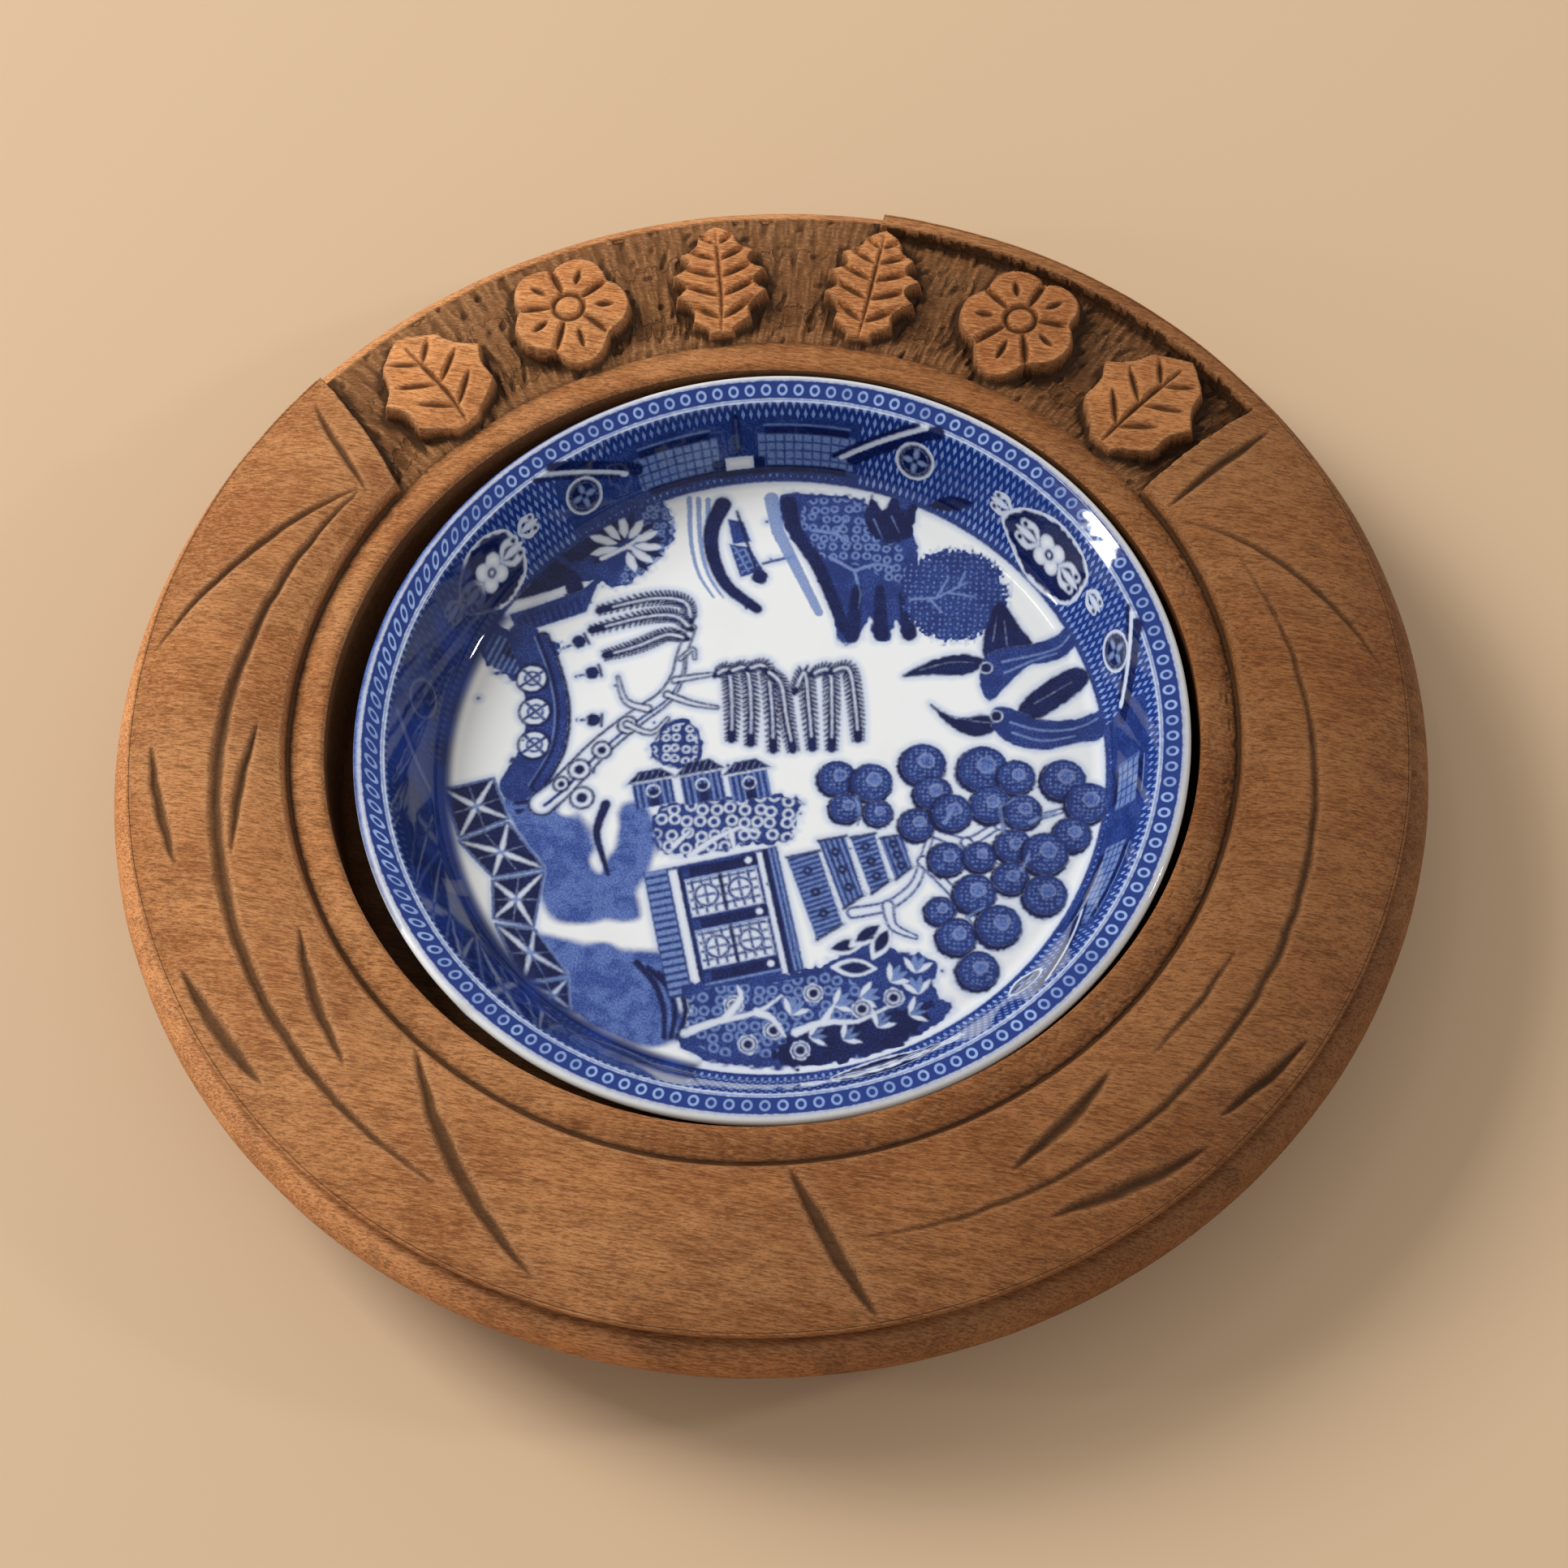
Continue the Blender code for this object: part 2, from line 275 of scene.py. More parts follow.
def line_depth(x, y, line, slope):
    """Depth of a gouged line that follows the brim."""
    start, start_angle, end, end_angle, bow, width = line
    pieces = 6 + round(abs(end_angle - start_angle) / 3)
    points = []
    for i in range(pieces + 1):
        share = i / pieces
        across = start + (end - start) * share + 4 * bow * share * (1 - share)
        points.append(polar(BRIM_START + BRIM_WIDTH * across,
            start_angle + (end_angle - start_angle) * share))
    best = np.full(x.shape, -1.0)
    for i in range(pieces):
        distance, share = segment_distance(x, y, points[i], points[i + 1])
        along = (i + share) / pieces
        half = width / 2 * np.clip(np.sin(math.pi * (0.015 + 0.97 * along)), 0, 1) ** 0.55
        best = np.maximum(best, half - distance)
    depth = (np.sqrt(best**2 + 0.02) + best) / 2
    return slope * np.where(depth < 0.7, depth, 0.7 + 0.35 * np.tanh((depth - 0.7) / 0.5))


def frieze_heights(x, y, radius, top):
    """Heights over the frieze, and where each point is: 1 in the ground, -1 on a motif."""
    wobble = 0.1 * noise(x * 0.9, y * 0.9, 3) + 0.06 * noise(x * 2.3, y * 2.3, 4)
    ground = polygon_distance(x, y, ground_outline())
    block = np.full(x.shape, 9.0)
    cuts = np.zeros(x.shape)
    start = QUIRK_RADIUS + MOTIF_FOOT
    angle = np.degrees(np.arctan2(y, x))
    for i, (outline, motif_cuts, kind) in enumerate(motifs()):
        degrees = MOTIF_MIDDLE + MOTIF_PITCH * (2.5 - i)
        near = np.abs(angle - degrees) < 0.9 * MOTIF_PITCH
        block[near] = np.minimum(block[near], polygon_distance(x[near], y[near], placed(outline, degrees,
            start)))
        for cut_start, cut_end, width in motif_cuts:
            ends = placed([cut_start, cut_end], degrees, start)
            cuts[near] = np.maximum(cuts[near], cut_depth(x[near], y[near], *ends, width, 1.25))
        if kind == "flower":
            middle = placed([(0, (RIM_RADIUS - MOTIF_HEAD - start) / 2)], degrees, start)[0]
            boss = np.hypot(x - middle[0], y - middle[1])
            cuts = np.maximum(cuts, 1.2 * np.maximum(0.75 - np.abs(boss - 2.4), 0))
    sunk = np.maximum(ground, -block) + wobble
    share = smooth(0.05, -0.5, sunk)
    ledge = smooth(QUIRK_RADIUS + 5.4, QUIRK_RADIUS + 0.2, radius)
    depth = FRIEZE_DEPTH - 0.5 * smooth(90, RIM_RADIUS, radius) - (FRIEZE_DEPTH - 1.5) * ledge
    turn = angle * math.pi / 180 * 84
    rays = noise(turn * 1.1, radius * 0.16, 11) * 0.24 + noise(turn * 2.9, radius * 0.45, 12) * 0.14
    stabs = np.maximum(noise(turn * 0.8 + radius * 0.3, radius * 0.5, 13) - 0.35, 0) * 0.8
    floor = brim_height(radius) - depth + rays - stabs
    height = top * (1 - share) + floor * share
    block_top = smooth(0.05, -0.35, block + wobble)
    return height - cuts * block_top, share - block_top


def carved_brim(radius, degrees):
    """Heights from the quirk to the rim, where each point is, and how deep the gouged lines are there."""
    turn = np.radians(degrees)
    x, y = radius * np.cos(turn), radius * np.sin(turn)
    quirk = np.clip((radius - QUIRK_RADIUS) / (BRIM_START + 0.5 - QUIRK_RADIUS), 0, 1)
    notch = 24.25 + (brim_height(radius) - 24.25) * smooth(0.1, 0.85, quirk)
    top = np.where(radius < BRIM_START + 0.5, notch, brim_height(radius))
    top = top + 0.1 * noise(x * 0.08, y * 0.08, 1) + 0.03 * noise(x * 0.4, y * 0.4, 2)
    height = top.copy()
    share = np.zeros(radius.shape)
    inside = (degrees > 30) & (degrees < 155)
    height[inside], share[inside] = frieze_heights(x[inside], y[inside], radius[inside], top[inside])
    wander_x = x + 0.16 * noise(x * 0.35, y * 0.35, 21)
    wander_y = y + 0.16 * noise(x * 0.35, y * 0.35, 22)
    gouge = np.zeros(radius.shape)
    for name, line in LINES.items():
        depth = line_depth(wander_x, wander_y, line, 1.15 * FAINT_LINES.get(name, 1.0))
        gouge = np.maximum(gouge, depth)
        height = height - depth
    return height, share, gouge


# ---------------------------------------------------------------- meshes


def new_object(name, points, faces, attributes=None):
    """A smooth-shaded mesh object from points in millimetres and lists of equal-sided faces."""
    mesh = bpy.data.meshes.new(name)
    mesh.vertices.add(len(points))
    mesh.vertices.foreach_set("co", (np.asarray(points) * MM).astype(np.float32).ravel())
    corners = np.concatenate([group.ravel() for group in faces]).astype(np.int32)
    sides = np.concatenate([np.full(len(group), group.shape[1]) for group in faces])
    starts = np.concatenate([[0], np.cumsum(sides)[:-1]]).astype(np.int32)
    mesh.loops.add(len(corners))
    mesh.loops.foreach_set("vertex_index", corners)
    mesh.polygons.add(len(starts))
    mesh.polygons.foreach_set("loop_start", starts)
    mesh.update(calc_edges=True)
    mesh.validate()
    mesh.shade_smooth()
    for label, values in (attributes or {}).items():
        attribute = mesh.attributes.new(label, "FLOAT", "POINT")
        attribute.data.foreach_set("value", np.asarray(values, np.float32).ravel())
    obj = bpy.data.objects.new(name, mesh)
    bpy.context.scene.collection.objects.link(obj)
    return obj


def ring_faces(counts):
    """Faces between rings of points. A ring may have half or twice as many as the one before, or only one."""
    quads, triangles = [], []
    start = 0

    def triangle(a, b, c):
        triangles.append(np.stack(np.broadcast_arrays(a, b, c), 1))

    for count, following in zip(counts, counts[1:]):
        here, there = start, start + count
        start = there
        near = np.arange(max(count, following) if 1 in (count, following) else min(count, following))
        far = (near + 1) % len(near)
        if count == following:
            quads.append(np.stack([here + near, there + near, there + far, here + far], 1))
        elif count == 1:
            triangle(here, there + near, there + far)
        elif following == 1:
            triangle(here + near, there, here + far)
        elif following == 2 * count:
            even, odd, after = there + 2 * near, there + 2 * near + 1, there + (2 * near + 2) % following
            triangle(here + near, even, odd)
            triangle(here + near, odd, here + far)
            triangle(here + far, odd, after)
        else:
            even, odd, after = here + 2 * near, here + 2 * near + 1, here + (2 * near + 2) % count
            triangle(even, there + near, odd)
            triangle(odd, there + near, there + far)
            triangle(odd, there + far, after)
    return [np.concatenate(group) for group in (quads, triangles) if group]


def rounded(corners, spacing):
    """A dense outline through (r, z, rounding) corners: each corner rounded, and straight runs divided."""
    points = []
    for i, (r, z, rounding) in enumerate(corners):
        if rounding == 0 or i in (0, len(corners) - 1):
            points.append(np.array([r, z], float))
            continue
        here = np.array([r, z], float)
        before = np.array(corners[i - 1][:2], float) - here
        after = np.array(corners[i + 1][:2], float) - here
        reach_in = min(rounding, 0.45 * np.linalg.norm(before)) / np.linalg.norm(before)
        reach_out = min(rounding, 0.45 * np.linalg.norm(after)) / np.linalg.norm(after)
        first, last = here + before * reach_in, here + after * reach_out
        for t in np.linspace(0, 1, 6):
            points.append(first * (1 - t) ** 2 + 2 * here * t * (1 - t) + last * t * t)
    dense = [points[0]]
    for start, end in zip(points, points[1:]):
        pieces = max(1, math.ceil(np.linalg.norm(end - start) / spacing))
        dense += [start + (end - start) * (i + 1) / pieces for i in range(pieces)]
    return dense


def ellipse_arc(centre, radii, start, end, pieces):
    turns = np.radians(np.linspace(start, end, pieces + 1))
    return [(centre[0] + radii[0] * math.cos(turn), centre[1] + radii[1] * math.sin(turn)) for turn in turns]


def blurred(values, across, around):
    """Box blur of a ring grid: it wraps round the rings and stops at the first and last ring."""
    total = np.zeros_like(values)
    padded = np.pad(values, ((across, across), (0, 0)), "edge")
    for i in range(2 * across + 1):
        total += padded[i : i + values.shape[0]]
    total /= 2 * across + 1
    spread = np.zeros_like(values)
    for i in range(-around, around + 1):
        spread += np.roll(total, i, axis=1)
    return spread / (2 * around + 1)


def dish_rings():
    """(inside, carved, outside) parts of the dish's outline, each a list of (r, z)."""
    roll_side = ROLL_TOP - ROLL_HEIGHT
    inside = rounded(
        [(8, FLOOR_HEIGHT, 0), (RECESS_RADIUS, FLOOR_HEIGHT, 3.0), (RECESS_RADIUS, roll_side, 0)], 2.4
    )
    band = [(RECESS_RADIUS + reach, roll_side + rise) for reach, rise in BAND]
    roll = rounded([(RECESS_RADIUS, roll_side, 0)] + [(r, z, 0.5) for r, z in band], 0.3)
    carved = [(r, 0.0) for r in np.arange(QUIRK_RADIUS + 0.15, RIM_RADIUS - 0.35, 0.22)]
    rim = float(brim_height(np.array(RIM_RADIUS)))
    edge = rounded(
        [
            (RIM_RADIUS - 0.35, rim + 0.12, 0),
            (RIM_RADIUS, rim, 0.35),
            (RIM_RADIUS, rim - 1.0, 0.3),
            (STEP_RADIUS, BEAD_TOP, 0.3),
            (STEP_RADIUS + 1.3, BEAD_TOP - 0.2, 0.3),
        ],
        0.3,
    )
    bead = ellipse_arc((STEP_RADIUS, BEAD_MIDDLE), (DISH_RADIUS - STEP_RADIUS, BEAD_HEIGHT / 2), 70, -72, 26)
    under = rounded(
        [
            (*bead[-1], 0),
            (FOOT_RADIUS + 4.0, 2.0, 1.0),
            (FOOT_RADIUS, 0.0, 0.6),
            (HOLLOW_RADIUS, 0.0, 0.5),
            (HOLLOW_RADIUS - 1.2, UNDER_HEIGHT, 0.5),
            (8, UNDER_HEIGHT, 0),
        ],
        2.4,
    )
    return inside + roll[1:], carved, edge + bead + under[1:]


def lowered_edge(height, last):
    """Lets the rim's edge follow the frieze's ground where the ground runs out over it."""
    fall = (brim_height(np.array(RIM_RADIUS - 0.4)) - height[last - 1])[None, :]
    edge = slice(last, last + 40)
    room = np.clip((height[edge] - BEAD_TOP) / (25.5 - BEAD_TOP), 0, 1)
    height[edge] -= np.clip(fall, 0, 3.2) * room


def worn_band(height, x, y, radius, degrees, first):
    """Ribs and chips in the band round the recess, mostly on its right, and how worn each point is."""
    roll, beside = slice(first - 22, first), slice(first, first + 6)
    side = np.where(degrees > 180, degrees - 360, degrees)[roll]
    right = smooth(60, 20, side) * smooth(-110, -70, side)
    chips = np.maximum(noise(x[roll] * 2.6, y[roll] * 2.6, 31) + noise(x[roll] * 0.5, y[roll] * 0.5,
        35) - 0.3, 0)
    ribs = 0.05 * noise(degrees[roll] * 1.6, radius[roll] * 0.2, 36)
    height[roll] -= 0.22 * chips * right + 0.05 * noise(x[roll] * 0.5, y[roll] * 0.5, 32) + ribs
    wear = np.zeros(radius.shape)
    wear[roll] = 1.6 * chips * right
    wear[beside] = 0.7 * right[-1] * np.maximum(noise(x[beside], y[beside], 37), 0)
    return wear


def make_dish_surface():
    inside, carved, outside = dish_rings()
    rings = inside + carved + outside
    first, last = len(inside), len(inside) + len(carved)
    steps = np.concatenate([np.arange(30, 154, 0.14), np.linspace(154, 390, 920, endpoint=False)])
    radius, angle = np.meshgrid([r for r, _ in rings], steps, indexing="ij")
    degrees = np.where(angle > 360, angle - 360, angle)
    height = np.repeat(np.array([z for _, z in rings])[:, None], len(steps), 1)
    sunk, gouge, hollow, curved = (np.zeros(radius.shape) for _ in range(4))
    brim = slice(first, last)
    height[brim], sunk[brim], gouge[brim] = carved_brim(radius[brim], degrees[brim])
    turn = np.radians(angle)
    x, y = radius * np.cos(turn), radius * np.sin(turn)
    lowered_edge(height, last)
    wear = worn_band(height, x, y, radius, degrees, first)

    # The wood has shrunk across its grain, and the recess a little more than the rim.
    loose = smooth(QUIRK_RADIUS + 8, QUIRK_RADIUS - 2, radius)
    spread = 1 + 0.06 * noise(x * 0.12, y * 0.12, 33) / 100
    shown_x = x * spread + RECESS_SHIFT * loose
    shown_y = y * spread * ACROSS_GRAIN * (1 - (1 - RECESS_SQUEEZE) * loose)
    points = np.stack([shown_x, shown_y, height], -1).reshape(-1, 3)
    all_points = np.concatenate([[[0.0, 0.0, FLOOR_HEIGHT]], points, [[0.0, 0.0, UNDER_HEIGHT]]])

    bowl = slice(first - 18, last + 60)
    curved[bowl] = height[bowl] - blurred(height[bowl], 3, 4)
    hollow[bowl] = height[bowl] - blurred(height[bowl], 7, 9)
    around = np.where(height > 24.0, 0.0, radius)
    around[last:] = np.maximum(around[last:], 70.0)

    def padded(values, floor=0.0, under=0.0):
        return np.concatenate([[floor], values.ravel(), [under]])

    attributes = {
        # Pale edges: real wear where the band is chipped, and a painted highlight on every convex edge.
        "edge_wear_and_highlight": padded(np.clip(curved / 0.12 + wear, 0, 1)),
        # Painted shade in the hollows and creases.
        "crease_shade": padded(np.clip(-hollow / 0.45, 0, 1)),
        "ground": padded(sunk),
        "gouge": padded(np.clip(gouge / 0.8, 0, 1)),
        "around": padded(around, 8.0, 70.0),
    }
    counts = [1] + [len(steps)] * len(rings) + [1]
    return new_object("dish_surface", all_points, ring_faces(counts), attributes)


# ---------------------------------------------------------------- print

# Colours of the print and the glaze, with a painted light white for the left of the well and painted shade
# colours for the left of the wall.
WHITE = (0.85, 0.87, 0.87)
HALO = (0.3, 0.42, 0.72)
DARK = (0.002, 0.005, 0.05)
MIDDLE = (0.01, 0.026, 0.15)
MIDDLE_PALE = (0.034, 0.074, 0.3)
WASH = (0.064, 0.118, 0.38)
WASH_DEEP = (0.022, 0.054, 0.25)
WASH_PALE = (0.135, 0.212, 0.5)
PALE = (0.2, 0.3, 0.58)
LATTICE_DARK = (0.01, 0.036, 0.22)
LATTICE_PALE = (0.23, 0.35, 0.68)
CHAIN_DARK = (0.012, 0.038, 0.215)
CHAIN_PALE = (0.3, 0.43, 0.74)
DULL_WHITE = (0.76, 0.78, 0.78)
# Painted light: a brighter white on the left of the well.
PAINTED_LIGHT_WHITE = (0.97, 0.99, 0.98)
# Painted shade over the left part of the wall's border.
PAINTED_SHADE_DARK = (0.006, 0.018, 0.11)
PAINTED_SHADE_PALE = (0.01, 0.038, 0.25)

LINER_STEPS = 1280
LATTICE_COUNT = 290
LATTICE_PITCH = 1.8
CHAIN_COUNT = 147
CHAIN_PITCH = 2.5
CHAIN_MIDDLE = 2.25
BORDER_FOOT = -13.6


class Print:
    """Ink under the glaze. Each tone holds, for every point, the signed distance to its edge in mm."""

    # The last tone, deep, is no ink: it is painted shade over the left part of the wall.
    TONES = ("wash", "lattice", "chain", "middle", "pale", "dark", "deep")

    def __init__(self, x, y, tones=None):
        self.x, self.y = x, y
        self.tones = tones or {tone: np.full(x.shape, 2.0) for tone in self.TONES}

    def draw(self, tone, shape):
        """Lays a shape in one tone over all that is there. Tone None wipes it back to white.

        The shader paints the tones in the order of TONES, so only the later ones have to make room.
        """
        (low_x, low_y, high_x, high_y), distance = shape
        inside = (self.x > low_x - 1.2) & (self.x < high_x + 1.2)
        near = np.flatnonzero(inside & (self.y > low_y - 1.2) & (self.y < high_y + 1.2))
        found = distance(self.x[near], self.y[near])
        if tone is not None:
            self.tones[tone][near] = np.minimum(self.tones[tone][near], found)
        above = self.TONES.index(tone) + 1 if tone else 0
        for name in self.TONES[above:-1]:
            self.tones[name][near] = np.maximum(self.tones[name][near], -found - (0.2 if tone else 0.0))

    def dark(self, shape):
        self.draw("dark", shape)

    def middle(self, shape):
        self.draw("middle", shape)

    def pale(self, shape):
        self.draw("pale", shape)

    def wipe(self, shape):
        self.draw(None, shape)


def rows(text):
    """Rows of numbers from text such as "1 2, 3 4". Anything that isn't text comes back as it is."""
    if not isinstance(text, str):
        return text
    return [tuple(map(float, row.split())) for row in text.split(",")]


def box_of(points, margin=0.0):
    xs, ys = [x for x, _ in points], [y for _, y in points]
    return min(xs) - margin, min(ys) - margin, max(xs) + margin, max(ys) + margin


def stroke(points, width, end_width=None):
    """A line through points. Its width runs from width to end_width."""
    points = rows(points)
    end_width = width if end_width is None else end_width
    pieces = len(points) - 1

    def distance(x, y):
        best = np.full(x.shape, 9.0)
        for i in range(pieces):
            found, share = segment_distance(x, y, points[i], points[i + 1])
            best = np.minimum(best, found - (width + (end_width - width) * (i + share) / pieces) / 2)
        return best

    return box_of(points, max(width, end_width) / 2), distance


def leaf(start, end, width):
    """A pointed leaf from start to end."""

    def distance(x, y):
        found, share = segment_distance(x, y, start, end)
        return found - width / 2 * np.sin(math.pi * np.clip(0.04 + 0.92 * share, 0, 1)) ** 0.8

    return box_of([start, end], width / 2), distance


def disc(x0, y0, radius, roughness=0.0):
    def distance(x, y):
        found = np.hypot(x - x0, y - y0) - radius
        return found + roughness * noise(x * 2.2, y * 2.2, 61) if roughness else found

    return (x0 - radius, y0 - radius, x0 + radius, y0 + radius), distance


def ring(x0, y0, radius, width):
    def distance(x, y):
        return np.abs(np.hypot(x - x0, y - y0) - radius) - width / 2

    return (x0 - radius, y0 - radius, x0 + radius, y0 + radius), distance


def area(points, roughness=0.0, grain=1.3):
    points = rows(points)

    def distance(x, y):
        found = polygon_distance(x, y, points)
        return found + roughness * noise(x * grain, y * grain, 62) if roughness else found

    return box_of(points), distance


def curve(points, pieces=6, closed=False):
    """A smooth line through points."""
    points = rows(points)
    count = len(points)
    made = []
    for i in range(count if closed else count - 1):
        if closed:
            a, b, c, d = (points[(i + k) % count] for k in (-1, 0, 1, 2))
        else:
            a, b, c, d = points[max(i - 1, 0)], points[i], points[i + 1], points[min(i + 2, count - 1)]
        for k in range(pieces):
            t = k / pieces
            weights = (-t + 2 * t * t - t**3, 2 - 5 * t * t + 3 * t**3, t + 4 * t * t - 3 * t**3,
                t**3 - t * t)
            made.append(tuple(sum(w * p[axis] for w, p in zip(weights, (a, b, c, d))) / 2 for axis in (0, 1)))
    return made if closed else made + [points[-1]]


def blob(points, roughness=0.0, grain=1.3):
    return area(curve(points, 5, True), roughness, grain)


def within(shape, pattern):
    """The part of a pattern that lies inside a shape."""
    box, distance = shape
    return box, lambda x, y: np.maximum(distance(x, y), pattern(x, y))


def hatch(degrees, spacing, width, wobble=0.0):
    cos, sin = math.cos(math.radians(degrees)), math.sin(math.radians(degrees))

    def distance(x, y):
        across = (x * -sin + y * cos + wobble * noise(x * 0.7, y * 0.7, 63)) / spacing
        return np.abs(across - np.floor(across) - 0.5) * spacing - width / 2

    return distance


def check(degrees, spacing, width):
    first, second = hatch(degrees, spacing, width), hatch(degrees + 90, spacing, width)
    return lambda x, y: np.minimum(first(x, y), second(x, y))


def bubbles(spacing, radius, width, seed):
    """Small circles scattered on a jittered grid. Width 0 fills them."""

    def distance(x, y):
        cell_x, cell_y = np.floor(x / spacing), np.floor(y / spacing)
        best = np.full(x.shape, 9.0)
        for across in (-1, 0, 1):
            for up in (-1, 0, 1):
                column, row = cell_x + across, cell_y + up
                chance = np.sin(column * 91.3 + row * 47.7 + seed) * 9631.7
                other = np.sin(column * 23.1 + row * 77.3 + seed) * 7411.9
                middle_x = (column + 0.5 + 0.42 * (chance - np.floor(chance) - 0.5)) * spacing
                middle_y = (row + 0.5 + 0.42 * (other - np.floor(other) - 0.5)) * spacing
                best = np.minimum(best, np.hypot(x - middle_x, y - middle_y))
        return np.abs(best - radius) - width / 2 if width else best - radius

    return distance


def turned_frame(origin, degrees):
    """A function that places local points in a turned frame."""
    cos, sin = math.cos(math.radians(degrees)), math.sin(math.radians(degrees))
    return lambda *points: [(origin[0] + a * cos - b * sin, origin[1] + a * sin + b * cos) for a, b in points]


def draw_frond(ink, points, width=2.5):
    """A hanging spray of a willow: a spine with short leaves down both sides."""
    line = curve(points, 9)
    for i, (start, end) in enumerate(zip(line, line[1:])):
        run = (end[0] - start[0], end[1] - start[1])
        length = math.hypot(*run) or 1e-6
        along, side = (run[0] / length, run[1] / length), (-run[1] / length, run[0] / length)
        taper = math.sin(math.pi * (0.12 + 0.8 * i / len(line))) ** 0.5
        reach = width / 2 * taper
        for sign in (-1, 1):
            tip = (
                start[0] + side[0] * sign * reach + along[0] * 0.7,
                start[1] + side[1] * sign * reach + along[1] * 0.7,
            )
            ink.dark(stroke([start, tip], 0.8, 0.42))
    ink.dark(stroke(line, 1, 1.5))
    ink.wipe(stroke(line[3:-3], 0.46, 0.3))


def draw_lines(ink, tone, lines, width, end_width, pieces=0):
    """Strokes along lines given as text with ";" between them, made smooth where pieces is given."""
    for line in lines.split(";"):
        ink.draw(tone, stroke(curve(line, pieces) if pieces else line, width, end_width))


def draw_branch(ink, tone, points, width, end_width, inner, inner_end):
    """A branch drawn as an outline: a white line laid over a wider inked one."""
    line = curve(points, 4)
    ink.draw(tone, stroke(line, width, end_width))
    ink.wipe(stroke(line, inner, inner_end))


def draw_fruit(ink, x, y, radius):
    """A stippled round fruit with a dark rim and a lighter shoulder."""
    ink.dark(disc(x, y, radius + 0.34, 0.15))
    ink.middle(disc(x + 0.07 * radius, y + 0.12 * radius, radius + 0.02))
    ink.draw("wash", disc(x + 0.2 * radius, y + 0.3 * radius, radius * 0.42, 0.2))
    ink.pale(within(disc(x + 0.1 * radius, y + 0.15 * radius, radius * 0.8), bubbles(0.72, 0.15, 0, 8)))


def draw_lantern(ink, x, y, height, degrees):
    put = turned_frame((x, y), degrees)
    ink.middle(stroke(put((0, 0), (0, height)), 0.45))
    ink.dark(disc(*put((0, height))[0], 1.15, 0.1))
    ink.dark(stroke(put((-1, height + 1.3), (1, height + 1.3)), 0.5))
    ink.wipe(ring(*put((0.1, height * 0.35))[0], 0.65, 0.3))


def draw_swallows(ink):
    """Two birds in flight, with long pointed wings and forked tails."""
    for wing in (
        "20 16.6, 24 19.4, 29 20.9, 33.6 19.6, 29.4 17.2, 24.6 17",
        "32.6 20, 32.4 25, 34.6 30.6, 38 26, 40.6 21.6, 36 18",
        "24.4 12, 28.6 9.6, 33 10.4, 36 8.8, 32.6 6.6, 28.4 7.6",
        "38 11.6, 41.4 15.8, 46.6 19.2, 49 17, 45 12.6, 40.6 9.8",
    ):
        ink.dark(blob(wing, 0.12))
    ink.middle(blob("32.4 20.4, 32 16, 33.6 12.8, 36.2 15.6, 39.6 19.2, 44.4 20.6, 47.6 24.2, 47.4 28, "
        "43.4 24.6, 38.6 22.8, 35.4 22.4", 0.15))
    ink.middle(blob("34.4 11.6, 34 8.4, 37 5.6, 42 4.6, 47 6, 51.4 7, 51.8 11.6, 47 10.2, 42 9.8, 38 11.4",
        0.15))
    draw_lines(ink, "pale", "35.4 19.8, 39.8 21, 44 22.6, 46.4 25.4; 35.8 17.8, 39.8 20, 43.8 21.6; 37 9.2, "
        "41.6 8, 46.6 8.4, 50.4 10.2; 37.4 7.4, 42 6.2, 47 7.2; 33.8 23.4, 34.2 28; 36 22.8, "
        "35.4 27.2; 40.6 12.6, 46.2 16.6; 22.6 17.8, 27 19.3, 31 19.5; 27.4 10, 31.6 9.2, 34.4 9", 0.42,
        0.26, 3)
    for x, y in rows("32.9 18.6, 34.8 10.2"):
        ink.dark(disc(x, y, 0.8))
        ink.wipe(ring(x, y, 0.9, 0.25))


def draw_fence_panel(ink, corners):
    """A four-cornered panel with a star of rails."""
    corners = rows(corners)
    middle = tuple(sum(c[axis] for c in corners) / 4 for axis in (0, 1))
    ink.dark(area(corners))
    ends = list(corners) + [
        tuple((a[axis] + b[axis]) / 2 for axis in (0, 1)) for a, b in zip(corners, corners[1:] + corners[:1])
    ]
    for i, end in enumerate(ends):
        short = tuple(middle[axis] + (end[axis] - middle[axis]) * 0.93 for axis in (0, 1))
        ink.draw(None if i < 4 else "pale", stroke([middle, short], 1 if i < 4 else 0.55, 0.32))
    for start, end in zip(corners, corners[1:] + corners[:1]):
        ink.pale(stroke([start, end], 0.55))
        ink.middle(stroke([start, end], 0.25))


